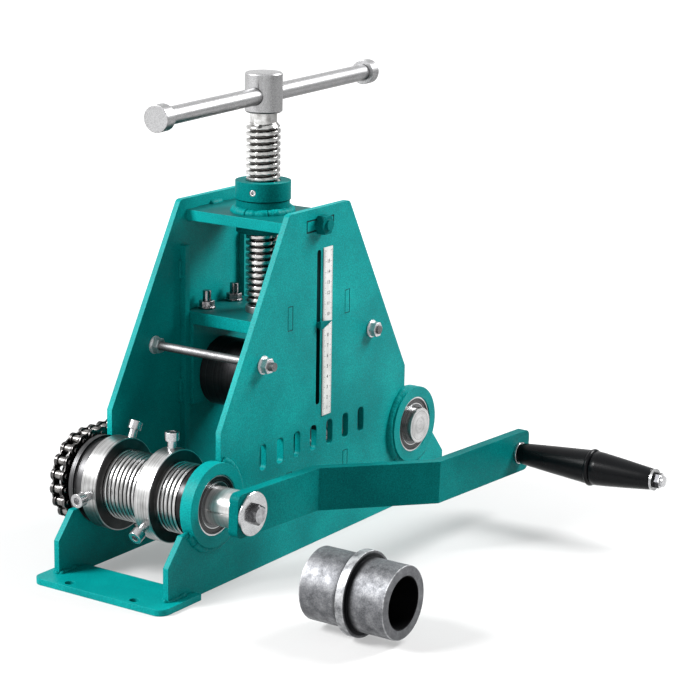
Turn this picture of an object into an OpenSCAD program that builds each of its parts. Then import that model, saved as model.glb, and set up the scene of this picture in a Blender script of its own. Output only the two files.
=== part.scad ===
// A hand-cranked bending machine for round, square and flat bars. Two side plates stand on two
// base plates and carry two driven roller shafts, joined by a roller chain. A carriage with a
// centre roller rides between the side plates and is pressed down by a trapezoidal screw.
// X runs from the front base plate to the rear one, Y from the crank side to the chain side and
// Z up. The origin is the centre of the four base holes, on the underside.

/* [Side plates] */
// Distance over the outer faces of the two side plates
frame_width = 130; // [122:1:150]
// Thickness of a side plate
plate_thickness = 6; // [5:0.5:7]
// Height of the side plates
plate_height = 321; // [316:1:340]
// Half length of a side plate at its top edge
crown_half_length = 48; // [44:1:60]
// Radius of the two top corners
crown_radius = 6; // [3:1:10]
// Height of the upright edge at each foot
foot_height = 36.5; // [20:0.5:45]
// How far a foot runs on past the ledge beside the bearing ring
foot_run = 20.5; // [12:0.5:30]
// Length of the level ledge beside the bearing ring
ledge_length = 4.6; // [2:0.2:8]
// Drop from the shaft axis to that ledge
ledge_drop = 18.6; // [15:0.2:24]
// How far the upright edge above the ring lies inside the shaft axis
waist_inset = 11.9; // [8:0.1:20]
// Rise from the shaft axis to the top of that upright edge
waist_rise = 62; // [50:1:70]

/* [Base plates] */
// Thickness of a base plate
base_thickness = 6; // [4:0.5:10]
// Width of a base plate along X
base_width = 55; // [45:1:65]
// How far a base plate stands out past the foot of the side plates
base_overhang = 20; // [18:1:30]
// How far a base plate stands out past the side plates' outer faces
base_side = 9.2; // [4:0.2:16]
// Radius of a base plate's corners
base_corner_radius = 10; // [4:1:14]
// Diameter of a base hole
base_hole_diameter = 9; // [7:0.5:11]
// Distance between the two holes of one base plate
base_hole_spacing = 73.6; // [60:0.2:90]
// Distance from a hole's centre to the base plate's outer edge
base_hole_inset = 8.6; // [7:0.2:11]

/* [Top plate and nut] */
// Thickness of the top plate
top_plate_thickness = 10; // [8:1:14]
// Width of the top plate along X
top_plate_width = 80; // [70:1:86]
// Drop from the side plates' top edge to the top plate's upper face
top_plate_drop = 10.5; // [6:0.5:16]
// Length of the tab that sits in each side plate
top_tab_length = 42; // [30:1:50]
// Diameter of the nut that is welded into the top plate
nut_diameter = 50; // [44:1:56]
// Height of the nut above the top plate
nut_rise = 11.5; // [8:0.5:16]
// Depth of the nut below the top plate
nut_depth = 9; // [5:0.5:10]
// Diameter of the ring that is screwed down on the nut
ring_cap_diameter = 52; // [48:1:60]
// Height of that ring
ring_cap_height = 17.5; // [14:0.5:24]
// Diameter of the ring's set screw
set_screw_diameter = 6; // [4:0.5:8]
// Diameter of the stud on each top tab
top_stud_diameter = 10; // [8:1:12]
// How far that stud stands out past its nut
top_stud_end = 2.5; // [1:0.5:6]

/* [Lifting screw] */
// Thread diameter of the lifting screw
screw_diameter = 32; // [28:1:34]
// Pitch of the lifting screw
screw_pitch = 6; // [5:0.5:7]
// Depth of the screw's thread
thread_depth = 3.5; // [2.5:0.1:4]
// Length of the thread above the carriage
thread_length = 172; // [170:1:190]
// Diameter of the plain neck under the hub
neck_diameter = 25; // [22:1:28]
// Length of that neck
neck_length = 9; // [5:1:14]
// Diameter of the hub
hub_diameter = 35; // [32:1:42]
// Height of the hub
hub_height = 37; // [32:1:44]
// Diameter of the screw's journal in the carriage
journal_diameter = 20; // [16:1:22]

/* [Turning bar] */
// Diameter of the turning bar
bar_diameter = 16; // [12:1:18]
// Length over the bar's two caps
bar_length = 396; // [340:2:440]
// How far the bar is pushed along from its centre
bar_shift = 13; // [-60:1:60]
// Angle of the bar from X
bar_angle = 6.5; // [-90:0.5:90]
// Diameter of a bar cap
cap_diameter = 24; // [22:1:30]
// Length of a bar cap
cap_length = 13; // [10:1:18]

/* [Shafts and rollers] */
// Height of the two lower shafts
shaft_height = 79.2; // [74:0.2:84]
// Diameter of a shaft in its bearings
shaft_diameter = 35; // [32:0.5:36]
// Diameter of a shaft under its sleeve
roller_shaft_diameter = 45; // [42:0.5:48]
// Outer diameter of the sleeve on each shaft
sleeve_diameter = 64; // [60:0.5:66]
// Distance between two grooves of the sleeve
groove_pitch = 4.6; // [4:0.1:6]
// Depth of a groove
groove_depth = 1.6; // [0.8:0.1:2]
// Outer diameter of a bearing
bearing_diameter = 55; // [54:0.5:57]
// Width of a bearing
bearing_width = 10; // [8:0.5:11]
// Outer diameter of the painted bearing rings
ring_diameter = 76; // [72:1:80]
// Width of the painted bearing rings
ring_width = 12.5; // [11.5:0.5:16]
// How far a painted ring stands out of its side plate
ring_proud = 5.5; // [4:0.5:8]
// Diameter of the inner part of the plain bearing housings
housing_diameter = 75; // [70:1:76]
// Diameter of the flange of the plain bearing housings
flange_diameter = 80.5; // [78:0.5:84]
// Width of the inner part of the plain bearing housings
housing_width = 7; // [6:0.5:9]
// Width of the flange of the plain bearing housings
flange_width = 5; // [4:0.5:7]
// How far that flange stands out of its side plate
flange_proud = 2; // [1:0.5:2.5]
// How far the rear shaft ends past its painted ring
shaft_end = 6; // [2:0.5:14]

/* [Collars] */
// Outer diameter of a guide collar
collar_diameter = 85; // [80:1:90]
// Width of a guide collar
collar_width = 16.5; // [15:0.5:20]
// Free width between the two collars of a shaft
collar_gap = 44; // [37:0.5:46]
// Diameter of a collar's cap screws
collar_screw_diameter = 8; // [6:1:8]
// Length of bare screw between collar and screw head
collar_screw_bare = 7.5; // [3:0.5:10]

/* [Chain drive] */
// Pitch of the roller chain
chain_pitch = 12.7; // [12.6:0.02:12.9]
// Number of links in the chain
chain_links = 70; // [68:2:72]
// Number of teeth of each sprocket
sprocket_teeth = 19; // [18:1:20]
// Diameter of the chain's rollers
chain_roller_diameter = 8.5; // [7.5:0.1:8.8]
// Inner width of the chain
chain_inner_width = 7.75; // [7:0.05:8.5]
// Height of the chain's side plates
chain_plate_height = 11.8; // [10:0.2:12]
// Distance from the side plate's outer face to the middle of the chain
chain_offset = 13.5; // [12:0.5:16]

/* [Crank] */
// Distance from the front shaft to the handle
crank_radius = 344.5; // [300:0.5:380]
// Width of the crank arm
arm_width = 40; // [36:1:46]
// Thickness of the crank arm
arm_thickness = 10; // [8:0.5:12]
// Distance from the side plate to the crank arm's inner face
arm_standoff = 32.5; // [26:0.5:40]
// Sideways offset between the arm's two straight ends
arm_offset = 70.5; // [60:0.5:76]
// Distance from the front shaft to the arm's first bend
arm_bend_start = 102.5; // [80:0.5:120]
// Distance from the front shaft to the arm's second bend
arm_bend_end = 197.5; // [180:0.5:215]
// How far the crank hangs below level
crank_droop = 2.5; // [0:0.5:20]
// Length of the grip
grip_length = 142; // [120:1:160]
// Diameter of the grip beside its ridge
grip_diameter = 33; // [28:1:38]
// Diameter of the grip at its two ends
grip_end_diameter = 20.5; // [18:0.5:24]
// Diameter of the ridge round the grip
grip_ridge_diameter = 36; // [34:1:42]
// Diameter of the spindle inside the grip
spindle_diameter = 10; // [8:1:12]

/* [Carriage] */
// Length of the carriage along X
carriage_length = 84; // [76:1:90]
// Thickness of the carriage's top plate
carriage_top_thickness = 12; // [10:1:14]
// Thickness of the carriage's two cheeks
cheek_thickness = 8; // [6:0.5:9]
// Rise from the centre roller's axis to the carriage's upper face
carriage_rise = 64.5; // [60:0.5:70]
// Drop from the centre roller's axis to the cheeks' lower edge
cheek_drop = 25.5; // [18:0.5:30]
// Diameter of the centre roller
centre_roller_diameter = 66; // [60:1:70]
// Diameter of the centre roller's axle
axle_diameter = 20; // [16:1:24]
// Gap between the centre roller and the lower sleeves' height as shown
rest_gap = 6; // [5:0.5:12]
// Travel of the carriage down from the place shown
travel_down = 60; // [40:1:60]
// Travel of the carriage up from the place shown
travel_up = 62; // [40:1:64]
// Diameter of the carriage's studs
carriage_stud_diameter = 8; // [6:1:8]
// Distance between two studs along X
carriage_stud_spacing = 42.5; // [40:0.5:56]
// How far a stud stands above the carriage
carriage_stud_rise = 17; // [12:0.5:18]

/* [Guides, rods and ruler] */
// Thickness of a guide strip along X
guide_thickness = 7; // [5:0.5:8]
// Depth of a guide strip from the side plate
guide_depth = 6; // [5:0.5:8]
// Length of a guide strip
guide_length = 230; // [220:1:240]
// Height of a guide strip's lower end
guide_bottom = 48; // [40:1:52]
// Height of a tab that holds a guide strip in the side plate
guide_tab_height = 21.7; // [16:0.1:26]
// Distance from a strip's lower end to its lower tab
guide_low_tab = 9.5; // [6:0.5:16]
// Distance from a strip's upper end to its upper tab
guide_high_tab = 42; // [30:1:50]
// Distance from the screw axis to a tie rod along X
tie_rod_offset = 88; // [74:1:96]
// Height of the tie rods
tie_rod_height = 190.5; // [186:0.5:200]
// Diameter of a tie rod
tie_rod_diameter = 8; // [6:1:10]
// Width of the pointer's slot
slot_width = 6; // [5:0.5:7]
// Distance from the screw axis to the slot's centre, along X
slot_offset = 1.2; // [0:0.1:3]
// Room below the pointer at its lowest place
slot_low_room = 14; // [2:0.5:18]
// Room above the pointer at its highest place
slot_high_room = 6; // [2:0.5:8]
// Width of the ruler
ruler_width = 14; // [10:0.5:18]
// Length of the ruler
ruler_length = 160; // [150:1:170]
// Thickness of the ruler
ruler_thickness = 1; // [0.5:0.1:1.2]
// Number of plain slots in the row on the crank-side plate
vent_count = 7; // [3:1:8]
// Width of one of these slots
vent_width = 10; // [6:0.5:12]
// Height of one of these slots
vent_height = 24; // [16:1:28]
// Distance between two of these slots
vent_pitch = 26.5; // [22:0.5:27]

/* [Spare roller] */
// Length of the spare roller
spare_length = 84; // [70:1:96]
// Distance from its crank-side end to the flange
spare_flange_start = 36; // [28:1:44]
// Width of its flange
spare_flange_width = 8; // [6:0.5:12]
// Diameter of its flange
spare_flange_diameter = 75; // [70:1:80]
// Distance from the front shaft's axis to the spare roller's axis, along X
spare_offset = 14; // [0:0.2:30]
// Distance from the crank-side plate to the spare roller's nearer end
spare_distance = 125.5; // [110:0.5:150]

/* [Hidden] */
$fn = 72;

// Paint and metal colours
teal = [0.0, 0.55, 0.52];
steel = [0.72, 0.73, 0.74];
dark_steel = [0.30, 0.31, 0.33];
black = [0.05, 0.05, 0.06];
white = [0.93, 0.93, 0.92];

// Clearances and the overrun of cuts
overrun = 1;
seat_gap = 0.02;
running_gap = 0.06;
loose_gap = 0.3;
tab_gap = 0.2;
guide_gap = 0.5;
cheek_gap = 1.5;

// Half widths across the frame
outer_y = frame_width / 2;
inner_y = outer_y - plate_thickness;

// The chain fixes how far apart the two shafts are
pitch_radius = chain_pitch / 2 / sin(180 / sprocket_teeth);
run_pitches = (chain_links - sprocket_teeth) / 2;
shaft_offset = run_pitches * chain_pitch / 2;
run_length = 2 * shaft_offset;
chain_y = outer_y + chain_offset;

// Outline of the side plates
ledge_end = shaft_offset + ring_diameter / 2 + ledge_length;
ledge_height = shaft_height - ledge_drop;
foot_half_length = ledge_end + foot_run;
waist_half_length = shaft_offset - waist_inset;
waist_height = shaft_height + waist_rise;
crown_slope = atan2(plate_height - waist_height, waist_half_length - crown_half_length);
crown_run = crown_radius * tan(crown_slope / 2);
base_end = foot_half_length + base_overhang;
base_start = base_end - base_width;
base_hole_x = base_end - base_hole_inset;

// Heights from the lower rollers up to the hub
roller_axis_height = shaft_height + sleeve_diameter / 2 + rest_gap + centre_roller_diameter / 2;
carriage_top_height = roller_axis_height + carriage_rise;
carriage_under_height = carriage_top_height - carriage_top_thickness;
cheek_bottom = roller_axis_height - cheek_drop;
cheek_outer = inner_y - cheek_gap;
cheek_inner = cheek_outer - cheek_thickness;
bush_height = 6.5;
bush_wall = 6;
thread_start = carriage_top_height + bush_height + loose_gap;
cone_length = 4.5;
thread_rings = floor((thread_length - cone_length) / screw_pitch);
thread_end = thread_start + thread_length;
hub_start = thread_end + neck_length;
hub_end = hub_start + hub_height;
bar_height_share = 0.43;
bar_height = hub_start + hub_height * bar_height_share;
keeper_height = 8;
keeper_wall = 6;
thread_flank_share = 0.12;
thread_crest_share = 0.38;
hub_edge = 1.5;
cap_seat_share = 0.6;
top_plate_height = plate_height - top_plate_drop;
top_plate_under = top_plate_height - top_plate_thickness;
nut_top = top_plate_height + nut_rise;
nut_bottom = top_plate_under - nut_depth;
set_screw_angle = 194;

// Places along the two lower shafts
ring_outer_y = outer_y + ring_proud;
ring_inner_y = ring_outer_y - ring_width;
bearing_inset = 1;
bearing_ring_share = 0.26;
bearing_seal_share = 0.6;
bearing_near_y = ring_outer_y - bearing_inset;
housing_inner_y = inner_y - housing_width;
housing_outer_y = outer_y + flange_proud;
bearing_far_y = housing_outer_y - bearing_inset - bearing_width;
sleeve_gap = 1.5;
sleeve_near_y = ring_inner_y - sleeve_gap;
sleeve_far_y = housing_inner_y - sleeve_gap;
sleeve_lip = 11.5;
sleeve_lip_step = 1;
groove_margin = 2.5;
groove_root_share = 0.3;
collar_outer_y = sleeve_far_y - collar_width;
collar_inner_y = collar_outer_y - collar_gap - collar_width;
arm_inner_y = outer_y + arm_standoff;
arm_outer_y = arm_inner_y + arm_thickness;
arm_tip_y = arm_outer_y + arm_offset;

// Screws and nuts: width over flats, height and flange
hex_share = 1 / cos(30);
head_diameter_share = 1.625;
nut_flats_share = 1.7;
nut_height_share = 0.9;
washer_nut_flats_share = 1.625;
washer_flange_share = 2.125;
washer_flange_height_share = 0.2;
socket_flats_share = 0.75;
set_socket_flats_share = 0.5;
spindle_nut_height_share = 0.6;
socket_depth_share = 0.5;
collar_screw_angles = [0, 120, 240];
inner_screw_turn = 88;
outer_screw_turn = 63;
screw_play = 0.3;

// Sprocket and chain details. Both runs have the same whole number of links. What is left of a
// pitch starts each wrap just before the shaft's top or bottom.
tooth_step = 360 / sprocket_teeth;
run_links = floor(run_pitches);
run_rest = run_pitches - run_links;
wrap_start = -run_rest * tooth_step;
wrap_links = sprocket_teeth / 2 + run_rest;
run_reach = run_length + pitch_radius * sin(wrap_start);
run_fall = pitch_radius * (1 - cos(wrap_start));
run_slope = atan2(run_fall, run_reach);
half_turn_link = chain_links / 2;
tooth_clear = 0.4;
tooth_depth = 3;
sprocket_play = 0.5;
sprocket_hub_diameter = 48;
sprocket_hub_end = 3;
sprocket_hub_gap = 1.5;
tooth_tip_share = 0.34;
tooth_root_share = 0.66;
chain_plate_thickness = 1.6;
chain_plate_gap = 0.1;
chain_pin_diameter = 4.5;
chain_pin_end = 1;
chain_waist_share = 0.72;

// Crank and handle details
crank_bolt_diameter = 10;
crank_bolt_length = 30;
crank_washer_diameter = 39.5;
crank_washer_thickness = 3;
arm_corner_radius = 7;
ferrule_thickness = 3;
grip_gap = 0.5;
grip_ridge_width = 9;
grip_ridge_share = 0.55;
grip_round = 2;
end_washer_thickness = 2.5;
spindle_end = 3;
key_width = 2;
key_depth = 1.5;
bolt_head_share = 0.7;
bolt_flats_share = 1.7;
spindle_nut_flats_share = 1.3;

// Places along the handle, counted outwards from the arm's outer face
grip_start = arm_tip_y + ferrule_thickness + grip_gap;
grip_end = grip_start + grip_length;
end_washer_start = grip_end + grip_gap;
end_washer_end = end_washer_start + end_washer_thickness;

// Guide strips and tie rod nuts
guide_x = carriage_length / 2 + guide_gap + guide_thickness / 2;
rod_nut_height = tie_rod_diameter;
front_rod_end = 5;
rear_rod_end = 1.9;

// Pointer and stud details
pointer_length = 20;
pointer_height = 8;
pointer_flat_share = 0.24;
pointer_tip_share = 0.2;
pointer_thickness = 2;
pointer_stem_height = 5;
pointer_stem_gap = 0.8;
pointer_drop = 3.7;
pointer_height_z = carriage_top_height - pointer_drop;
ruler_gap = 6.5;
carriage_stud_y = cheek_inner - loose_gap;
slot_top = pointer_height_z + travel_up + pointer_stem_height / 2 + slot_high_room;
slot_bottom = pointer_height_z - travel_down - pointer_stem_height / 2 - slot_low_room;
ruler_top = slot_top + overrun;
vent_centre_x = -7.5;
vent_centre_z = 104;
vent_round_share = 0.4;

// A cylinder along Y from one place to another
module rod_y(diameter, from_y, to_y) {
    translate([0, from_y, 0])
        rotate([-90, 0, 0])
            cylinder(d = diameter, h = to_y - from_y);
}

// A ring along Y from one place to another
module ring_y(diameter, bore, from_y, to_y) {
    difference() {
        rod_y(diameter, from_y, to_y);
        rod_y(bore, from_y - overrun, to_y + overrun);
    }
}

// A six-sided prism along Y
module hex_y(flats, from_y, to_y) {
    translate([0, from_y, 0])
        rotate([-90, 0, 0])
            cylinder(d = flats * hex_share, h = to_y - from_y, $fn = 6);
}

// A rectangle with four round corners, from one corner to the other
module round_rectangle(low, high, radius) {
    translate([low[0] + radius, low[1]])
        square([high[0] - low[0] - 2 * radius, high[1] - low[1]]);
    translate([low[0], low[1] + radius])
        square([high[0] - low[0], high[1] - low[1] - 2 * radius]);
    for (x = [low[0] + radius, high[0] - radius])
        for (y = [low[1] + radius, high[1] - radius])
            translate([x, y])
                circle(r = radius);
}

// An upright outline in the XZ plane, drawn thick along +Y from the plane at from_y
module upright(from_y, thickness) {
    translate([0, from_y + thickness, 0])
        rotate([90, 0, 0])
            linear_extrude(thickness)
                children();
}

// Half of the side plate's outline, on the side of +X, from the base up to the round top corner
function plate_half_points() = [
    [base_start, 0],
    [base_start, base_thickness],
    [foot_half_length, base_thickness],
    [foot_half_length, foot_height],
    [ledge_end, ledge_height],
    [waist_half_length, ledge_height],
    [waist_half_length, waist_height],
    [crown_half_length + crown_run * cos(crown_slope), plate_height - crown_run * sin(crown_slope)],
    [crown_half_length - crown_run, plate_height]
];

// The same points on the side of -X, in the opposite order
function turned_over(points) = [
    for (i = [len(points) - 1 : -1 : 0])
        [-points[i][0], points[i][1]]
];

// Openings for the guide tabs, as low and high ends
function guide_tab_starts() = [
    guide_bottom + guide_low_tab,
    guide_bottom + guide_length - guide_high_tab - guide_tab_height
];

// The whole outline of a side plate with every hole that both plates share
module plate_outline(notch_diameter) {
    difference() {
        union() {
            polygon(concat(plate_half_points(), turned_over(plate_half_points())));
            for (side = [-1, 1])
                translate([side * (crown_half_length - crown_run), plate_height - crown_radius])
                    circle(r = crown_radius);
        }
        for (side = [-1, 1]) {
            translate([side * shaft_offset, shaft_height])
                circle(d = notch_diameter + 2 * seat_gap);
            translate([side * tie_rod_offset, tie_rod_height])
                circle(d = tie_rod_diameter + 2 * tab_gap);
            for (start = guide_tab_starts())
                translate([side * guide_x - guide_thickness / 2 - tab_gap, start - tab_gap])
                    square([guide_thickness + 2 * tab_gap, guide_tab_height + 2 * tab_gap]);
        }
        translate([-top_tab_length / 2 - tab_gap, top_plate_under - tab_gap])
            square([top_tab_length + 2 * tab_gap, top_plate_thickness + 2 * tab_gap]);
    }
}

module side_plate_near() {
    color(teal)
        upright(-outer_y, plate_thickness)
            difference() {
                plate_outline(ring_diameter);
                translate([-slot_offset - slot_width / 2, slot_bottom + slot_width / 2])
                    square([slot_width, slot_top - slot_bottom - slot_width]);
                for (end_z = [slot_bottom + slot_width / 2, slot_top - slot_width / 2])
                    translate([-slot_offset, end_z])
                        circle(d = slot_width);
                for (i = [0 : vent_count - 1])
                    translate([vent_centre_x + (i - (vent_count - 1) / 2) * vent_pitch, vent_centre_z])
                        round_rectangle(
                            [-vent_width / 2, -vent_height / 2],
                            [vent_width / 2, vent_height / 2],
                            vent_width * vent_round_share
                        );
            }
}

module side_plate_far() {
    color(teal)
        upright(inner_y, plate_thickness)
            plate_outline(flange_diameter);
}

// A base plate on the side of +X; its inner corners are square
module base_plate() {
    color(teal)
        difference() {
            linear_extrude(base_thickness)
                difference() {
                    union() {
                        round_rectangle(
                            [base_start, -outer_y - base_side],
                            [base_end, outer_y + base_side],
                            base_corner_radius
                        );
                        translate([base_start, -outer_y - base_side])
                            square([base_corner_radius, 2 * outer_y + 2 * base_side]);
                    }
                    for (side = [-1, 1])
                        translate([base_hole_x, side * base_hole_spacing / 2])
                            circle(d = base_hole_diameter);
                }
        }
}

module base_plate_front() {
    mirror([1, 0, 0])
        base_plate();
}

module base_plate_rear() {
    base_plate();
}

module top_plate() {
    color(teal)
        translate([0, 0, top_plate_under])
            linear_extrude(top_plate_thickness)
                difference() {
                    union() {
                        square([top_plate_width, 2 * inner_y], center = true);
                        square([top_tab_length, 2 * outer_y], center = true);
                    }
                    circle(d = nut_diameter + 2 * seat_gap);
                }
}

module lift_nut() {
    color(teal)
        translate([0, 0, nut_bottom])
            difference() {
                cylinder(d = nut_diameter, h = nut_top - nut_bottom);
                translate([0, 0, -overrun])
                    cylinder(d = screw_diameter + 2 * loose_gap, h = nut_top - nut_bottom + 2 * overrun);
            }
}

// The ring's screw lies at half its height and points at the lifting screw
module nut_ring_screw_place() {
    translate([0, 0, nut_top + ring_cap_height / 2])
        rotate([0, 90, set_screw_angle])
            children();
}

module nut_ring() {
    color(teal)
        difference() {
            translate([0, 0, nut_top])
                cylinder(d = ring_cap_diameter, h = ring_cap_height);
            translate([0, 0, nut_top - overrun])
                cylinder(d = screw_diameter + 2 * loose_gap, h = ring_cap_height + 2 * overrun);
            nut_ring_screw_place()
                cylinder(d = set_screw_diameter + 2 * seat_gap, h = ring_cap_diameter);
        }
}

module nut_ring_screw() {
    screw_start = screw_diameter / 2 + 2 * loose_gap;
    screw_length = ring_cap_diameter / 2 - screw_start - loose_gap;
    socket_depth = set_screw_diameter * socket_depth_share;
    color(steel)
        nut_ring_screw_place()
            translate([0, 0, screw_start])
                difference() {
                    cylinder(d = set_screw_diameter, h = screw_length);
                    translate([0, 0, screw_length - socket_depth])
                        cylinder(
                            d = set_screw_diameter * set_socket_flats_share * hex_share,
                            h = socket_depth + overrun,
                            $fn = 6
                        );
                }
}

// The stud is welded to the end of the top plate's tab, and its nut bears on the side plate
module top_stud_nuts() {
    nut_height = top_stud_diameter * nut_height_share;
    stud_height = top_plate_under + top_plate_thickness / 2;
    color(teal)
        for (turn = [0, 180])
            rotate([0, 0, turn])
                translate([0, 0, stud_height]) {
                    rod_y(top_stud_diameter, outer_y, outer_y + nut_height + top_stud_end);
                    difference() {
                        hex_y(top_stud_diameter * nut_flats_share, outer_y, outer_y + nut_height);
                        rod_y(top_stud_diameter, outer_y - overrun, outer_y + nut_height + overrun);
                    }
                }
}

module guide_strips() {
    color(teal)
        for (side_x = [-1, 1])
            for (turn = [0, 180])
                rotate([0, 0, turn])
                    translate([side_x * guide_x - guide_thickness / 2, inner_y - guide_depth, 0]) {
                        translate([0, 0, guide_bottom])
                            cube([guide_thickness, guide_depth, guide_length]);
                        for (start = guide_tab_starts())
                            translate([0, 0, start])
                                cube([guide_thickness, guide_depth + plate_thickness, guide_tab_height]);
                    }
}

module tie_rods() {
    color(steel)
        for (rod = [[-1, front_rod_end], [1, rear_rod_end]])
            let (rod_half = outer_y + rod_nut_height + rod[1])
                translate([rod[0] * tie_rod_offset, 0, tie_rod_height])
                    rod_y(tie_rod_diameter, -rod_half, rod_half);
}

// A nut with a round flange on its inner side, along +Y from from_y
module flange_nut(diameter, height, from_y) {
    flange_height = diameter * washer_flange_height_share;
    difference() {
        union() {
            rod_y(diameter * washer_flange_share, from_y, from_y + flange_height);
            hex_y(diameter * washer_nut_flats_share, from_y, from_y + height);
        }
        rod_y(diameter + 2 * seat_gap, from_y - overrun, from_y + height + overrun);
    }
}

module tie_rod_nuts() {
    color(steel)
        for (side = [-1, 1])
            for (turn = [0, 180])
                translate([side * tie_rod_offset, 0, tie_rod_height])
                    rotate([0, 0, turn]) {
                        flange_nut(tie_rod_diameter, rod_nut_height, outer_y);
                        translate([0, inner_y, 0])
                            mirror([0, 1, 0])
                                flange_nut(tie_rod_diameter, rod_nut_height, 0);
                    }
}

module ruler() {
    color(white)
        translate([ruler_gap - slot_offset, -outer_y - ruler_thickness, ruler_top - ruler_length])
            cube([ruler_width, ruler_thickness, ruler_length]);
}

// A painted bearing ring on the crank side
module near_ring(side) {
    color(teal)
        translate([side * shaft_offset, 0, shaft_height])
            ring_y(ring_diameter, bearing_diameter + 2 * seat_gap, -ring_outer_y, -ring_inner_y);
}

module ring_near_front() {
    near_ring(-1);
}

module ring_near_rear() {
    near_ring(1);
}

// A plain steel housing on the chain side: its flange sits in the notch of the side plate
module far_housing(side) {
    color(dark_steel)
        translate([side * shaft_offset, 0, shaft_height])
            difference() {
                union() {
                    rod_y(housing_diameter, housing_inner_y, housing_outer_y);
                    rod_y(flange_diameter, housing_outer_y - flange_width, housing_outer_y);
                }
                rod_y(
                    bearing_diameter + 2 * seat_gap,
                    housing_inner_y - overrun,
                    housing_outer_y + overrun
                );
            }
}

module housing_far_front() {
    far_housing(-1);
}

module housing_far_rear() {
    far_housing(1);
}

// One sealed bearing with its rings a little proud of the seals
module bearing(from_y, to_y) {
    ring_wall = (bearing_diameter - shaft_diameter) / 2 * bearing_ring_share;
    seal_inset = bearing_inset * bearing_seal_share;
    ring_y(bearing_diameter, bearing_diameter - 2 * ring_wall, from_y, to_y);
    ring_y(
        shaft_diameter + 2 * ring_wall + 2 * running_gap,
        shaft_diameter + 2 * running_gap,
        from_y,
        to_y
    );
    ring_y(
        bearing_diameter - 2 * ring_wall,
        shaft_diameter + 2 * ring_wall + 2 * running_gap,
        from_y + seal_inset,
        to_y - seal_inset
    );
}

module bearings_near() {
    color(steel)
        for (side = [-1, 1])
            translate([side * shaft_offset, 0, shaft_height])
                bearing(-bearing_near_y, -bearing_near_y + bearing_width);
}

module bearings_far() {
    color(steel)
        for (side = [-1, 1])
            translate([side * shaft_offset, 0, shaft_height])
                bearing(bearing_far_y, bearing_far_y + bearing_width);
}

// Outline of one chain side plate between two pins, with a narrower waist. An open end has a
// hole for the pin of the next piece of chain.
module chain_plate_outline(open_start, open_end) {
    waist = chain_plate_height * chain_waist_share;
    difference() {
        union() {
            circle(d = chain_plate_height);
            translate([chain_pitch, 0])
                circle(d = chain_plate_height);
            translate([0, -waist / 2])
                square([chain_pitch, waist]);
        }
        if (open_start)
            circle(d = chain_pin_diameter + 2 * seat_gap);
        if (open_end)
            translate([chain_pitch, 0])
                circle(d = chain_pin_diameter + 2 * seat_gap);
    }
}

// Both side plates of one link, with its first pin at the origin and its length along X
module chain_link_plates(is_outer, open_start, open_end) {
    inner_face = chain_inner_width / 2 + (is_outer ? chain_plate_thickness + chain_plate_gap : 0);
    for (face = [inner_face, -inner_face - chain_plate_thickness])
        upright(face, chain_plate_thickness)
            chain_plate_outline(open_start, open_end);
}

// One pin with its roller
module chain_pin() {
    pin_half = chain_inner_width / 2 + 2 * chain_plate_thickness + chain_plate_gap + chain_pin_end;
    roller_half = chain_inner_width / 2 - chain_plate_gap;
    rod_y(chain_pin_diameter, -pin_half, pin_half);
    rod_y(chain_roller_diameter, -roller_half, roller_half);
}

// The upper run, from the pin over the front shaft to the last pin before the rear shaft
module chain_run(first_link) {
    color(steel)
        translate([-shaft_offset, chain_y, shaft_height + pitch_radius])
            rotate([0, run_slope, 0]) {
                for (i = [0 : run_links])
                    translate([i * chain_pitch, 0, 0])
                        chain_pin();
                for (i = [0 : run_links - 1])
                    translate([i * chain_pitch, 0, 0])
                        chain_link_plates((first_link + i) % 2 == 0, false, false);
            }
}

// The links round the rear sprocket. Each is a chord between two pins on the pitch circle.
module chain_wrap(first_link) {
    color(steel)
        translate([shaft_offset, chain_y, shaft_height]) {
            for (i = [1 : wrap_links - 1])
                rotate([0, wrap_start + i * tooth_step, 0])
                    translate([0, 0, pitch_radius])
                        chain_pin();
            for (i = [0 : wrap_links - 1])
                rotate([0, wrap_start + (i + 1 / 2) * tooth_step, 0])
                    translate([-chain_pitch / 2, 0, pitch_radius * cos(tooth_step / 2)])
                        chain_link_plates(
                            (first_link + run_links + i) % 2 == 0,
                            i == 0,
                            i == wrap_links - 1
                        );
        }
}

// Half a turn about the middle of the drive brings the upper run and rear wrap to the other two
module chain_half_turn() {
    translate([0, 0, shaft_height])
        rotate([0, 180, 0])
            translate([0, 0, -shaft_height])
                children();
}

module chain_upper_run() {
    chain_run(0);
}

module chain_rear_wrap() {
    chain_wrap(0);
}

module chain_lower_run() {
    chain_half_turn()
        chain_run(half_turn_link);
}

module chain_front_wrap() {
    chain_half_turn()
        chain_wrap(half_turn_link);
}

// A roller shaft: thick under its sleeve, thinner in both bearings and out to the sprocket
module roller_shaft(near_end_y) {
    rod_y(shaft_diameter, -near_end_y, -sleeve_near_y);
    rod_y(roller_shaft_diameter, -sleeve_near_y, sleeve_far_y);
    rod_y(shaft_diameter, sleeve_far_y, chain_y + chain_inner_width / 2 + sprocket_hub_end);
}

module front_shaft() {
    color(steel)
        translate([-shaft_offset, 0, shaft_height])
            difference() {
                roller_shaft(arm_inner_y);
                rod_y(
                    crank_bolt_diameter + 2 * seat_gap,
                    -arm_inner_y - overrun,
                    -arm_inner_y + crank_bolt_length
                );
                translate([-shaft_diameter / 2 - overrun, -arm_inner_y - overrun, -key_width / 2])
                    cube([key_depth + overrun, arm_inner_y + overrun - ring_outer_y - overrun, key_width]);
            }
}

module rear_shaft() {
    color(steel)
        translate([shaft_offset, 0, shaft_height])
            roller_shaft(ring_outer_y + shaft_end);
}

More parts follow.
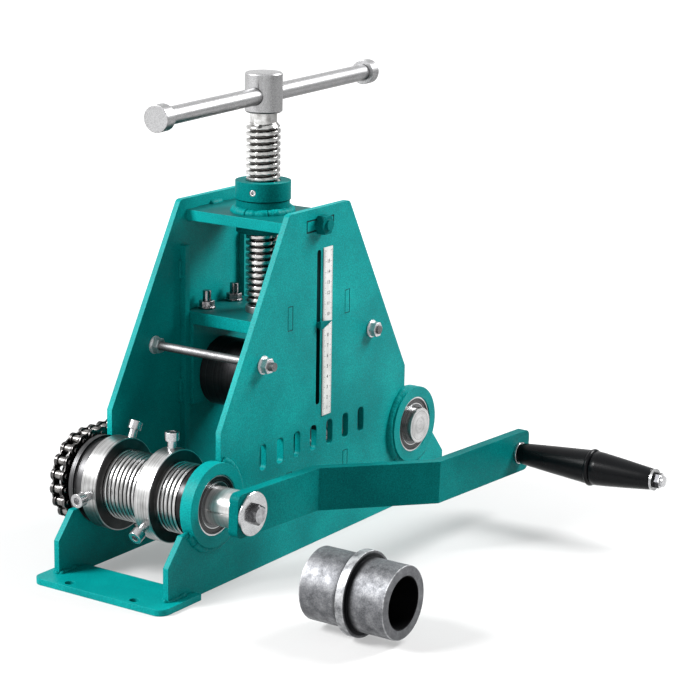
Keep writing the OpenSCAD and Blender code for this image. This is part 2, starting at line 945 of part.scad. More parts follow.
// The grooved sleeve that the bar rests on. Its crank-side end is a plain lip.
module roller_sleeve() {
    crest = sleeve_diameter / 2;
    root = crest - groove_depth;
    bore = roller_shaft_diameter / 2 + seat_gap;
    groove_start = -sleeve_near_y + sleeve_lip;
    groove_room = sleeve_far_y - groove_margin - groove_start;
    groove_count = floor(groove_room / groove_pitch);
    groove_points = [
        for (i = [0 : groove_count - 1])
            each [
                [crest, groove_start + i * groove_pitch],
                [root, groove_start + (i + groove_root_share) * groove_pitch],
                [crest, groove_start + (i + 2 * groove_root_share) * groove_pitch]
            ]
    ];
    rotate([-90, 0, 0])
        rotate_extrude()
            polygon(concat(
                [
                    [bore, -sleeve_near_y],
                    [crest - sleeve_lip_step, -sleeve_near_y],
                    [crest - sleeve_lip_step, -sleeve_near_y + sleeve_lip - groove_margin],
                    [crest, -sleeve_near_y + sleeve_lip - groove_margin]
                ],
                groove_points,
                [
                    [crest, sleeve_far_y],
                    [bore, sleeve_far_y]
                ]
            ));
}

module front_sleeve() {
    color(steel)
        translate([-shaft_offset, 0, shaft_height])
            roller_sleeve();
}

module rear_sleeve() {
    color(steel)
        translate([shaft_offset, 0, shaft_height])
            roller_sleeve();
}

// A sprocket whose teeth reach up to the chain's rollers. turn sets a tooth beside a roller.
module sprocket(turn) {
    tip = pitch_radius - chain_roller_diameter / 2 - tooth_clear;
    root = tip - tooth_depth;
    half_width = chain_inner_width / 2 - sprocket_play;
    outline = [
        for (i = [0 : sprocket_teeth - 1])
            each [
                for (corner = [
                    [root, -tooth_root_share],
                    [tip, -tooth_tip_share],
                    [tip, tooth_tip_share],
                    [root, tooth_root_share]
                ])
                    let (angle = (i + (1 + corner[1]) / 2) * tooth_step + turn)
                        [corner[0] * sin(angle), corner[0] * cos(angle)]
            ]
    ];
    difference() {
        union() {
            upright(chain_y - half_width, 2 * half_width)
                polygon(outline);
            rod_y(sprocket_hub_diameter, housing_outer_y + sprocket_hub_gap, chain_y + half_width);
        }
        rod_y(shaft_diameter + 2 * seat_gap, outer_y, chain_y + half_width + overrun);
    }
}

module front_sprocket() {
    color(dark_steel)
        translate([-shaft_offset, 0, shaft_height])
            sprocket(0);
}

module rear_sprocket() {
    color(dark_steel)
        translate([shaft_offset, 0, shaft_height])
            sprocket(wrap_start);
}

// A guide collar on a sleeve, with a hole for each of its cap screws
module collar(side, from_y, turn) {
    color(steel)
        translate([side * shaft_offset, 0, shaft_height])
            difference() {
                ring_y(collar_diameter, sleeve_diameter + 2 * running_gap, from_y, from_y + collar_width);
                for (angle = collar_screw_angles)
                    translate([0, from_y + collar_width / 2, 0])
                        rotate([0, 90 - turn - angle, 0])
                            cylinder(d = collar_screw_diameter + 2 * seat_gap, h = collar_diameter);
            }
}

// The cap screws of one collar, as a group: a bare shank and a head with a six-sided socket
module collar_screws(side, from_y, turn) {
    shank_start = sleeve_diameter / 2 + screw_play;
    head_start = collar_diameter / 2 + collar_screw_bare;
    head_diameter = collar_screw_diameter * head_diameter_share;
    color(steel)
        translate([side * shaft_offset, from_y + collar_width / 2, shaft_height])
            for (angle = collar_screw_angles)
                rotate([0, 90 - turn - angle, 0])
                    difference() {
                        union() {
                            translate([0, 0, shank_start])
                                cylinder(d = collar_screw_diameter, h = head_start - shank_start);
                            translate([0, 0, head_start])
                                cylinder(d = head_diameter, h = collar_screw_diameter);
                        }
                        translate([0, 0, head_start + collar_screw_diameter * socket_depth_share])
                            cylinder(
                                d = collar_screw_diameter * socket_flats_share * hex_share,
                                h = collar_screw_diameter,
                                $fn = 6
                            );
                    }
}

module front_collar_inner() {
    collar(-1, collar_inner_y, inner_screw_turn);
}

module front_collar_inner_screws() {
    collar_screws(-1, collar_inner_y, inner_screw_turn);
}

module front_collar_outer() {
    collar(-1, collar_outer_y, outer_screw_turn);
}

module front_collar_outer_screws() {
    collar_screws(-1, collar_outer_y, outer_screw_turn);
}

module rear_collar_inner() {
    collar(1, collar_inner_y, inner_screw_turn);
}

module rear_collar_inner_screws() {
    collar_screws(1, collar_inner_y, inner_screw_turn);
}

module rear_collar_outer() {
    collar(1, collar_outer_y, outer_screw_turn);
}

module rear_collar_outer_screws() {
    collar_screws(1, collar_outer_y, outer_screw_turn);
}

// The crank's own frame: the front shaft's axis is Y, the arm runs along X and droops a little
module crank_place() {
    translate([-shaft_offset, 0, shaft_height])
        rotate([0, crank_droop, 0])
            children();
}

// The arm's path seen from above: straight, slanted outwards, straight again
module arm_path() {
    slant_x = arm_bend_end - arm_bend_start;
    slant_length = sqrt(slant_x * slant_x + arm_offset * arm_offset);
    shift = arm_thickness * (slant_length - slant_x) / arm_offset;
    arm_end = crank_radius + arm_width / 2;
    polygon([
        [-arm_width / 2, -arm_outer_y],
        [arm_bend_start, -arm_outer_y],
        [arm_bend_end, -arm_tip_y],
        [arm_end, -arm_tip_y],
        [arm_end, -arm_tip_y + arm_thickness],
        [arm_bend_end + shift, -arm_tip_y + arm_thickness],
        [arm_bend_start + shift, -arm_inner_y],
        [-arm_width / 2, -arm_inner_y]
    ]);
}

module crank_arm() {
    color(teal)
        crank_place()
            difference() {
                intersection() {
                    translate([0, 0, -arm_width / 2])
                        linear_extrude(arm_width)
                            arm_path();
                    upright(-arm_tip_y - overrun, arm_tip_y - arm_inner_y + 2 * overrun)
                        round_rectangle(
                            [-arm_width / 2, -arm_width / 2],
                            [crank_radius + arm_width / 2, arm_width / 2],
                            arm_corner_radius
                        );
                }
                rod_y(crank_bolt_diameter + 2 * tab_gap, -arm_outer_y - overrun, -arm_inner_y + overrun);
                translate([crank_radius, 0, 0])
                    rod_y(
                        spindle_diameter + 2 * seat_gap,
                        -arm_tip_y - overrun,
                        -arm_tip_y + arm_thickness + overrun
                    );
            }
}

// The hexagon bolt and its large washer that hold the arm on the front shaft
module crank_bolt() {
    head_height = crank_bolt_diameter * bolt_head_share;
    washer_y = arm_outer_y + crank_washer_thickness;
    color(steel)
        crank_place() {
            rod_y(crank_bolt_diameter, -washer_y, -arm_inner_y + crank_bolt_length - screw_play);
            rod_y(crank_washer_diameter, -washer_y, -arm_outer_y);
            hex_y(crank_bolt_diameter * bolt_flats_share, -washer_y - head_height, -washer_y);
        }
}

// The fixed spindle with its end washer and nut
module handle_spindle() {
    nut_height = spindle_diameter * spindle_nut_height_share;
    color(steel)
        crank_place()
            translate([crank_radius, 0, 0]) {
                rod_y(
                    spindle_diameter,
                    -end_washer_end - nut_height - spindle_end,
                    -arm_tip_y + arm_thickness
                );
                rod_y(grip_end_diameter, -end_washer_end, -end_washer_start);
                hex_y(
                    spindle_diameter * spindle_nut_flats_share,
                    -end_washer_end - nut_height,
                    -end_washer_end
                );
            }
}

module handle_ferrule() {
    color(steel)
        crank_place()
            translate([crank_radius, 0, 0])
                ring_y(
                    grip_end_diameter + 2 * grip_gap,
                    spindle_diameter + 2 * seat_gap,
                    -arm_tip_y - ferrule_thickness,
                    -arm_tip_y
                );
}

// The grip swells from both ends towards a raised ridge
module handle_grip() {
    ridge_middle = grip_end - grip_length * (1 - grip_ridge_share);
    ridge_low = ridge_middle - grip_ridge_width / 2;
    ridge_high = ridge_middle + grip_ridge_width / 2;
    bore = spindle_diameter / 2 + running_gap;
    end_radius = grip_end_diameter / 2;
    color(black)
        crank_place()
            translate([crank_radius, 0, 0])
                rotate([90, 0, 0])
                    rotate_extrude()
                        polygon([
                            [bore, grip_start],
                            [end_radius - grip_round, grip_start],
                            [end_radius, grip_start + grip_round],
                            [grip_diameter / 2, ridge_low],
                            [grip_ridge_diameter / 2, ridge_low],
                            [grip_ridge_diameter / 2, ridge_high],
                            [grip_diameter / 2, ridge_high],
                            [end_radius, grip_end - grip_round],
                            [end_radius - grip_round, grip_end],
                            [bore, grip_end]
                        ]);
}

module carriage_top() {
    color(teal)
        translate([0, 0, carriage_under_height])
            linear_extrude(carriage_top_thickness)
                difference() {
                    square([carriage_length, 2 * cheek_outer], center = true);
                    circle(d = journal_diameter + 2 * running_gap);
                    for (side_x = [-1, 1])
                        for (side_y = [-1, 1])
                            translate([
                                side_x * carriage_stud_spacing / 2,
                                side_y * carriage_stud_y
                            ])
                                circle(d = carriage_stud_diameter + 2 * seat_gap);
                }
}

// One cheek stands between its two Y faces and carries the centre roller's axle
module carriage_cheek(from_y) {
    color(teal)
        upright(from_y, cheek_thickness)
            difference() {
                translate([-carriage_length / 2, cheek_bottom])
                    square([carriage_length, carriage_under_height - cheek_bottom]);
                translate([0, roller_axis_height])
                    circle(d = axle_diameter + 2 * seat_gap);
            }
}

module carriage_cheek_near() {
    carriage_cheek(-cheek_outer);
}

module carriage_cheek_far() {
    carriage_cheek(cheek_inner);
}

// Places of the four studs on the carriage
module carriage_stud_places() {
    for (side_x = [-1, 1])
        for (side_y = [-1, 1])
            translate([
                side_x * carriage_stud_spacing / 2,
                side_y * carriage_stud_y,
                0
            ])
                children();
}

module carriage_studs() {
    color(steel)
        carriage_stud_places()
            translate([0, 0, carriage_under_height])
                cylinder(d = carriage_stud_diameter, h = carriage_top_thickness + carriage_stud_rise);
}

module carriage_nuts() {
    color(dark_steel)
        carriage_stud_places()
            translate([0, 0, carriage_top_height])
                rotate([90, 0, 0])
                    flange_nut(carriage_stud_diameter, carriage_stud_diameter * nut_height_share, 0);
}

// The stem comes out of the carriage through the slot and carries the arrow before the ruler
module pointer() {
    back_y = outer_y + ruler_thickness + pointer_stem_gap;
    stem_width = slot_width - 2 * pointer_stem_gap;
    color(teal)
        translate([-slot_offset, 0, pointer_height_z]) {
            translate([-stem_width / 2, -back_y, -pointer_stem_height / 2])
                cube([stem_width, back_y - cheek_outer, pointer_stem_height]);
            upright(-back_y - pointer_thickness, pointer_thickness)
                polygon([
                    [-stem_width / 2, -pointer_height / 2],
                    [pointer_length * pointer_flat_share - stem_width / 2, -pointer_height / 2],
                    [pointer_length - stem_width / 2, pointer_height * pointer_tip_share],
                    [-stem_width / 2, pointer_height / 2]
                ]);
        }
}

module roller_axle() {
    color(steel)
        translate([0, 0, roller_axis_height])
            rod_y(axle_diameter, -cheek_outer, cheek_outer);
}

// The ring on the carriage that the lifting screw pushes on
module thrust_bush() {
    color(steel)
        translate([0, 0, carriage_top_height])
            difference() {
                cylinder(d = journal_diameter + 2 * bush_wall, h = bush_height);
                translate([0, 0, -overrun])
                    cylinder(d = journal_diameter + 2 * running_gap, h = bush_height + 2 * overrun);
            }
}

module centre_roller() {
    color(dark_steel)
        translate([0, 0, roller_axis_height])
            ring_y(
                centre_roller_diameter,
                axle_diameter + 2 * running_gap,
                -cheek_inner + guide_gap,
                cheek_inner - guide_gap
            );
}

// The thread is drawn as rings with the thread's own pitch and depth
module lift_screw() {
    crest = screw_diameter / 2;
    root = crest - thread_depth;
    journal_start = carriage_under_height - loose_gap - keeper_height;
    thread_points = [
        for (i = [0 : thread_rings - 1])
            each [
                [root, thread_start + i * screw_pitch],
                [crest, thread_start + (i + thread_flank_share) * screw_pitch],
                [crest, thread_start + (i + thread_flank_share + thread_crest_share) * screw_pitch],
                [root, thread_start + (i + 2 * thread_flank_share + thread_crest_share) * screw_pitch]
            ]
    ];
    color(steel)
        rotate_extrude()
            polygon(concat(
                [
                    [0, journal_start],
                    [journal_diameter / 2, journal_start],
                    [journal_diameter / 2, thread_start]
                ],
                thread_points,
                [
                    [root, thread_end - cone_length],
                    [crest, thread_end - cone_length],
                    [neck_diameter / 2, thread_end],
                    [neck_diameter / 2, hub_start],
                    [0, hub_start]
                ]
            ));
}

// Turns its children to the bar's direction, with the bar's axis along X
module bar_place() {
    translate([0, 0, bar_height])
        rotate([0, 0, bar_angle])
            children();
}

// A cylinder along X between two places
module rod_x(diameter, from_x, to_x) {
    translate([from_x, 0, 0])
        rotate([0, 90, 0])
            cylinder(d = diameter, h = to_x - from_x);
}

module screw_hub() {
    edge = hub_edge;
    color(steel)
        difference() {
            rotate_extrude()
                polygon([
                    [0, hub_start],
                    [hub_diameter / 2 - edge, hub_start],
                    [hub_diameter / 2, hub_start + edge],
                    [hub_diameter / 2, hub_end - edge],
                    [hub_diameter / 2 - edge, hub_end],
                    [0, hub_end]
                ]);
            bar_place()
                rod_x(bar_diameter + 2 * running_gap, -hub_diameter, hub_diameter);
        }
}

// The disc under the carriage's top plate that lets the screw pull the carriage up
module screw_keeper() {
    color(steel)
        translate([0, 0, carriage_under_height - loose_gap - keeper_height])
            difference() {
                cylinder(d = journal_diameter + 2 * keeper_wall, h = keeper_height);
                translate([0, 0, -overrun])
                    cylinder(d = journal_diameter + 2 * seat_gap, h = keeper_height + 2 * overrun);
            }
}

module turning_bar() {
    bar_end = bar_length / 2 - cap_length * cap_seat_share;
    color(steel)
        bar_place()
            rod_x(bar_diameter, bar_shift - bar_end, bar_shift + bar_end);
}

// A cap at each end of the bar, each with a seat for the bar's end
module bar_caps() {
    half = bar_length / 2;
    color(steel)
        bar_place()
            for (turn = [0, 180])
                translate([bar_shift, 0, 0])
                    rotate([0, 0, turn])
                        difference() {
                            rod_x(cap_diameter, half - cap_length, half);
                            rod_x(
                                bar_diameter + 2 * seat_gap,
                                half - cap_length - overrun,
                                half - cap_length * cap_seat_share
                            );
                        }
}

// A spare roller sleeve that lies beside the machine on its flange
module spare_roller() {
    spare_start = -outer_y - spare_distance - spare_length;
    flange_start = spare_start + spare_flange_start;
    color(steel)
        translate([-shaft_offset - spare_offset, 0, spare_flange_diameter / 2])
            difference() {
                union() {
                    rod_y(sleeve_diameter, spare_start, spare_start + spare_length);
                    rod_y(spare_flange_diameter, flange_start, flange_start + spare_flange_width);
                }
                rod_y(
                    roller_shaft_diameter + 2 * running_gap,
                    spare_start - overrun,
                    spare_start + spare_length + overrun
                );
            }
}

side_plate_near();
side_plate_far();
base_plate_front();
base_plate_rear();
top_plate();
lift_nut();
nut_ring();
nut_ring_screw();
top_stud_nuts();
guide_strips();
tie_rods();
tie_rod_nuts();
ruler();
ring_near_front();
ring_near_rear();
housing_far_front();
housing_far_rear();
bearings_near();
bearings_far();
chain_upper_run();
chain_lower_run();
chain_front_wrap();
chain_rear_wrap();
front_shaft();
front_sleeve();
front_sprocket();
crank_arm();
crank_bolt();
handle_spindle();
handle_ferrule();
handle_grip();
front_collar_inner();
front_collar_inner_screws();
front_collar_outer();
front_collar_outer_screws();
rear_shaft();
rear_sleeve();
rear_sprocket();
rear_collar_inner();
rear_collar_inner_screws();
rear_collar_outer();
rear_collar_outer_screws();
carriage_top();
carriage_cheek_near();
carriage_cheek_far();
carriage_studs();
carriage_nuts();
pointer();
roller_axle();
thrust_bush();
centre_roller();
lift_screw();
screw_hub();
screw_keeper();
turning_bar();
bar_caps();
spare_roller();
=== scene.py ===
import math
import random

import bmesh
import bpy
from mathutils import Matrix, Quaternion, Vector


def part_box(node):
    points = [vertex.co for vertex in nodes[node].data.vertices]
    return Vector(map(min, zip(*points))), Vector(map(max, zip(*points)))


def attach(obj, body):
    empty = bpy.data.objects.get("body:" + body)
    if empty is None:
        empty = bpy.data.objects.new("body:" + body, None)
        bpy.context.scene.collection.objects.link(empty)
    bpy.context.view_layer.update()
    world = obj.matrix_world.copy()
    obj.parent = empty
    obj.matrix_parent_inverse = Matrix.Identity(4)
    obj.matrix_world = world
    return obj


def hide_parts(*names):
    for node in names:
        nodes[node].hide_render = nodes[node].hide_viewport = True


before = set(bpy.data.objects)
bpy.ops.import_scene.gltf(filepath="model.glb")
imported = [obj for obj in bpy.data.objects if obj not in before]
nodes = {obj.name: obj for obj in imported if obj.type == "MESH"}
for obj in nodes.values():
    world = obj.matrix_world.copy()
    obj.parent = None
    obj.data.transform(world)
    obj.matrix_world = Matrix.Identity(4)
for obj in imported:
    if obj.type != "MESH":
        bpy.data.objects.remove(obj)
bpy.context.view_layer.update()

scene = bpy.context.scene
MM = 0.001


# Places and sizes that part.scad gives, in metres

SHAFT_X = 0.161925            # from the middle to each shaft
SHAFT_Z = 0.0792
FRONT = (-SHAFT_X, SHAFT_Z)
REAR = (SHAFT_X, SHAFT_Z)
PLATE_Y = 0.065               # outer sides of the side plates
INNER_Y = 0.059               # their inner sides
PLATE_MIDDLE_Y = 0.062
PLATE_HALF = 0.0026           # a little less than half a plate's thickness
FOOT_X = 0.2247               # ends of the side plates' feet
BASE_TOP_Z = 0.0062
TOP_PLATE_Z = 0.3105
TOP_PLATE_MIDDLE_Z = 0.3055
NUT_TOP_Z = 0.322
ROLLER_Z = 0.1502
CHAIN_Y = 0.0785              # middle of the chain
GUIDE_X = 0.0497              # outer edges of the guide strips

THREAD_START_Z = 0.2215
THREAD_END_Z = 0.3935
THREAD_CREST = 0.016
THREAD_ROOT = 0.0125
THREAD_PITCH = 0.006
PIVOT_START_Z = 0.1944        # lower end of the screw, below its thread
PIVOT_RADIUS = 0.01
HUB_START_Z = 0.4025

CRANK_DROOP = math.radians(2.5)
CRANK_RADIUS = 0.3445
SHANK_END_Y = 0.0775          # these run outwards along the crank's bolt
WASHER_START_Y = 0.1075
WASHER_FACE_Y = 0.1105
SHANK_RADIUS = 0.005
WASHER_RADIUS = 0.01975
HEAD_FLATS = 0.017
HEAD_HEIGHT = 0.007
GRIP_START_Y = 0.1815
GRIP_END_Y = 0.3235
SPINDLE_RADIUS = 0.0052

SPARE_X = -0.175925
SPARE_Z = 0.0375
SPARE_MIDDLE_Y = -0.2325
SPARE_FLANGE_Y = -0.2345

TAB_X = 0.046                 # tabs of the guide strips in the side plates
TAB_HALF = (0.0037, 0.01105)
LOW_TAB_Z = 0.06835
HIGH_TAB_Z = 0.22515
TOP_TAB_HALF = (0.0212, 0.0052)
SLOT_X = -0.0012
SLOT_HALF = 0.003
SLOT_Z = 0.2
SLOT_HALF_HEIGHT = 0.09


# Camera

def add_camera():
    data = bpy.data.cameras.new("camera")
    data.lens = 115.79
    data.sensor_width = 36
    camera = bpy.data.objects.new("camera", data)
    scene.collection.objects.link(camera)
    place = Vector((-1.666125, -1.212735, 0.696177))
    target = Vector((0.14911, 0.0, 0.14752))
    roll = math.radians(0.906)
    camera.location = place
    camera.rotation_mode = "QUATERNION"
    camera.rotation_quaternion = (target - place).to_track_quat("-Z", "Y") @ Quaternion((0, 0, 1), roll)
    scene.camera = camera


# Node helpers

def srgb(red, green, blue):
    return tuple(
        c / 12.92 if c <= 0.04045 else ((c + 0.055) / 1.055) ** 2.4
        for c in (red / 255, green / 255, blue / 255)
    ) + (1.0,)


def grey(value):
    return (value, value, value, 1.0)


# Black that painted shade mixes in.
PAINTED_SHADE_BLACK = grey(0.0)


def times_colour(share, colour):
    return tuple(share * part for part in colour[:3]) + (1.0,)


def new_material(name, roughness, metallic=0.0):
    material = bpy.data.materials.new(name)
    material.use_nodes = True
    shader = material.node_tree.nodes["Principled BSDF"]
    shader.inputs["Roughness"].default_value = roughness
    shader.inputs["Metallic"].default_value = metallic
    return material, material.node_tree, shader


def feed(tree, socket, value):
    """Links a node's output to a socket, or sets the socket to a plain value."""
    if isinstance(value, bpy.types.NodeSocket):
        tree.links.new(value, socket)
    else:
        socket.default_value = value


def place_of(tree):
    return tree.nodes.new("ShaderNodeTexCoord").outputs["Object"]


def surface_normal(tree):
    return tree.nodes.new("ShaderNodeNewGeometry").outputs["Normal"]


def noise(tree, vector, scale, detail, roughness=0.5):
    node = tree.nodes.new("ShaderNodeTexNoise")
    node.inputs["Scale"].default_value = scale
    node.inputs["Detail"].default_value = detail
    node.inputs["Roughness"].default_value = roughness
    tree.links.new(vector, node.inputs["Vector"])
    return node.outputs["Fac"]


def math_node(tree, operation, *values):
    node = tree.nodes.new("ShaderNodeMath")
    node.operation = operation
    for socket, value in zip(node.inputs, values):
        feed(tree, socket, value)
    return node.outputs["Value"]


def plus(tree, first, second):
    return math_node(tree, "ADD", first, second)


def minus(tree, first, second):
    return math_node(tree, "SUBTRACT", first, second)


def times(tree, first, second):
    return math_node(tree, "MULTIPLY", first, second)


def larger(tree, first, second):
    return math_node(tree, "MAXIMUM", first, second)


def unsigned(tree, value):
    return math_node(tree, "ABSOLUTE", value)


def below(tree, value, limit):
    return math_node(tree, "LESS_THAN", value, limit)


def opposite(tree, share):
    return minus(tree, 1.0, share)


def gap_from(tree, value, centre):
    return unsigned(tree, minus(tree, value, centre))


def split(tree, vector):
    node = tree.nodes.new("ShaderNodeSeparateXYZ")
    tree.links.new(vector, node.inputs["Vector"])
    return node.outputs["X"], node.outputs["Y"], node.outputs["Z"]


def joined(tree, x, y, z):
    node = tree.nodes.new("ShaderNodeCombineXYZ")
    for socket, value in zip(node.inputs, (x, y, z)):
        feed(tree, socket, value)
    return node.outputs["Vector"]


def scaled(tree, vector, scale):
    node = tree.nodes.new("ShaderNodeMapping")
    node.inputs["Scale"].default_value = scale
    tree.links.new(vector, node.inputs["Vector"])
    return node.outputs["Vector"]


def ramp(tree, value, *stops):
    node = tree.nodes.new("ShaderNodeValToRGB")
    elements = node.color_ramp.elements
    while len(elements) < len(stops):
        elements.new(0.5)
    for element, (place, colour) in zip(elements, stops):
        element.position = place
        element.color = colour
    tree.links.new(value, node.inputs["Fac"])
    return node.outputs["Color"]


def between(tree, value, low, high):
    """Rises smoothly from 0 at low to 1 at high."""
    node = tree.nodes.new("ShaderNodeMapRange")
    node.interpolation_type = "SMOOTHSTEP"
    node.inputs["From Min"].default_value = low
    node.inputs["From Max"].default_value = high
    tree.links.new(value, node.inputs["Value"])
    return node.outputs["Result"]


def until(tree, value, low, high):
    """Falls smoothly from 1 at low to 0 at high."""
    return opposite(tree, between(tree, value, low, high))


def mixed(tree, share, first, second):
    """A colour between two others."""
    node = tree.nodes.new("ShaderNodeMix")
    node.data_type = "RGBA"
    tree.links.new(share, node.inputs["Factor"])
    feed(tree, node.inputs[6], first)
    feed(tree, node.inputs[7], second)
    return node.outputs[2]


def blended(tree, share, first, second):
    """A grey value between two others."""
    return plus(tree, times(tree, first, opposite(tree, share)), times(tree, second, share))


def radius_from(tree, first, second, centre):
    """Distance of a point from an axis, from its two coordinates across that axis."""
    a = minus(tree, first, centre[0])
    b = minus(tree, second, centre[1])
    return math_node(tree, "SQRT", plus(tree, times(tree, a, a), times(tree, b, b)))


def facing(tree, axis):
    """How squarely a surface faces along an axis, 0 to 1; the piece's own normal, from any view."""
    return unsigned(tree, split(tree, surface_normal(tree))["XYZ".index(axis)])


def coloured(tree, shader, colour):
    tree.links.new(colour, shader.inputs["Base Color"])


def roughened(tree, shader, share, first, second, stops=(0.3, 0.7)):
    """Roughness from first to second, as share goes from one stop to the other."""
    tree.links.new(ramp(tree, share, (stops[0], grey(first)), (stops[1], grey(second))),
                   shader.inputs["Roughness"])


def bumped(tree, shader, height, strength, distance=0.0002):
    node = tree.nodes.new("ShaderNodeBump")
    node.inputs["Strength"].default_value = strength
    node.inputs["Distance"].default_value = distance
    tree.links.new(height, node.inputs["Height"])
    tree.links.new(node.outputs["Normal"], shader.inputs["Normal"])


# Paint

def frame_line(tree, x, z, centre, half, half_line=0.0004):
    """1 on the outline of a rectangle, from the coordinates x and z."""
    out_x = minus(tree, gap_from(tree, x, centre[0]), half[0])
    out_z = minus(tree, gap_from(tree, z, centre[1]), half[1])
    return below(tree, unsigned(tree, larger(tree, out_x, out_z)), half_line)


def tab_seams(tree, x, y, z):
    """1 on the seams round the tabs, on the outer sides of the side plates."""
    aside = unsigned(tree, x)
    low = frame_line(tree, aside, z, (TAB_X, LOW_TAB_Z), TAB_HALF)
    high = frame_line(tree, aside, z, (TAB_X, HIGH_TAB_Z), TAB_HALF)
    top = frame_line(tree, aside, z, (0.0, TOP_PLATE_MIDDLE_Z), TOP_TAB_HALF, 0.0007)
    outside = between(tree, unsigned(tree, y), PLATE_Y - 0.0004, PLATE_Y - 0.0002)
    on_plate = until(tree, unsigned(tree, y), PLATE_Y + 0.0003, PLATE_Y + 0.0005)
    return times(tree, larger(tree, low, larger(tree, high, top)), times(tree, outside, on_plate))


def slot_walls(tree, x, y, z):
    """1 on the walls of the pointer's slot, which get painted shade."""
    wide = below(tree, gap_from(tree, x, SLOT_X), SLOT_HALF + 0.0003)
    deep = below(tree, gap_from(tree, y, -PLATE_MIDDLE_Y), PLATE_HALF)
    high = below(tree, gap_from(tree, z, SLOT_Z), SLOT_HALF_HEIGHT)
    return times(tree, wide, times(tree, deep, high))


def teal_paint(name, shade=1.0, level_lit_share=1.0):
    """Grained paint with dark seams; shade darkens all of it, and painted shade darkens its level faces when
    the last argument is below 1.
    """
    material, tree, shader = new_material(name, 0.42)
    shader.inputs["Specular IOR Level"].default_value = 0.09 * shade * shade
    place = place_of(tree)
    cloud = noise(tree, place, 14, 4)
    speckle = noise(tree, place, 850, 3, 0.7)
    share = plus(tree, times(tree, cloud, 0.4), times(tree, speckle, 0.6))
    colour = ramp(tree, share,
                  (0.36, times_colour(shade, srgb(0, 118, 119))),
                  (0.5, times_colour(shade, srgb(0, 141, 140))),
                  (0.64, times_colour(shade, srgb(10, 170, 167))))
    # Painted shade: the level faces, turned up or down, darkened towards black.
    if level_lit_share < 1.0:
        painted_shade = times(tree, between(tree, facing(tree, "Z"), 0.8, 0.98), 1.0 - level_lit_share)
        colour = mixed(tree, painted_shade, colour, PAINTED_SHADE_BLACK)
    x, y, z = split(tree, place)
    under_cap = math_node(tree, "COMPARE", z, NUT_TOP_Z + 0.0001, 0.0005)
    # Dark seams and the cap's joint line, and painted shade on the slot's walls, all in one dark teal.
    dark = larger(tree, larger(tree, under_cap, tab_seams(tree, x, y, z)), slot_walls(tree, x, y, z))
    coloured(tree, shader, mixed(tree, dark, colour, srgb(0, 34, 36)))
    roughened(tree, shader, speckle, 0.4, 0.54, (0.3, 0.8))
    bumped(tree, shader, speckle, 0.3, 0.0004)
    return material


# Steels

def turned_steel(name, centre, tones, roughness, face=None, shade_root=None, highlight_rim=None, stains=0.4, metallic=1.0):
    """Steel turned about a Y axis: fine rings, with its end faces in a darker tone with stains as painted
    shade, a painted highlight on their outer rim, and painted shade below an inner radius."""
    material, tree, shader = new_material(name, roughness, metallic)
    light, dark = tones
    edge = 0.0006
    place = place_of(tree)
    x, y, z = split(tree, place)
    radius = radius_from(tree, x, z, centre)
    fine = noise(tree, joined(tree, radius, y, 0.0), 700, 2, 0.7)
    stain = noise(tree, place, 55, 4, 0.6)
    share = blended(tree, stains, fine, stain)
    colour = ramp(tree, share, (0.34, dark), (0.6, light))
    # Painted shade on the end faces, mottled by stains, with a painted highlight on their outer rim.
    if face:
        face_shade_tone = ramp(tree, stain, (0.35, face), (0.7, times_colour(1.9, face)))
        if highlight_rim:
            face_shade_tone = mixed(tree, between(tree, radius, highlight_rim - edge, highlight_rim), face_shade_tone, light)
        colour = mixed(tree, between(tree, facing(tree, "Y"), 0.75, 0.97), colour, face_shade_tone)
    # Painted shade below the inner radius.
    if shade_root:
        colour = mixed(tree, until(tree, radius, shade_root - edge, shade_root), colour, srgb(46, 46, 47))
    coloured(tree, shader, colour)
    roughened(tree, shader, share, roughness + 0.16, roughness)
    bumped(tree, shader, fine, 0.14)
    return material


def plain_steel(name, light, dark, roughness, grain=1300, stains=0.3, strength=0.1, under=0.0):
    """Satin steel with a fine grain and faint stains; under darkens the sides that face down as painted
    shade.
    """
    material, tree, shader = new_material(name, roughness, 1.0)
    place = place_of(tree)
    fine = noise(tree, place, grain, 2, 0.6)
    stain = noise(tree, place, 70, 4, 0.6)
    colour = ramp(tree, blended(tree, stains, fine, stain), (0.36, dark), (0.62, light))
    # Painted shade on the sides that face down.
    if under:
        downward = times(tree, split(tree, surface_normal(tree))[2], -1.0)
        painted_shade = times(tree, between(tree, downward, -0.35, 0.75), under)
        colour = mixed(tree, painted_shade, colour, PAINTED_SHADE_BLACK)
    coloured(tree, shader, colour)
    roughened(tree, shader, fine, roughness + 0.1, roughness - 0.04)
    bumped(tree, shader, fine, strength)
    return material


def bolt_steel():
    """The crank bolt's head: a bright end face, and flats painted darker as shade."""
    material, tree, shader = new_material("bolt_steel", 0.24, 1.0)
    cloud = noise(tree, place_of(tree), 300, 3, 0.6)
    end = ramp(tree, cloud, (0.35, srgb(132, 132, 134)), (0.65, srgb(172, 172, 174)))
    # Flats painted darker as shade.
    shaded_flats = ramp(tree, cloud, (0.35, srgb(74, 74, 76)), (0.65, srgb(116, 116, 118)))
    coloured(tree, shader, mixed(tree, between(tree, facing(tree, "Y"), 0.85, 0.97), shaded_flats, end))
    return material


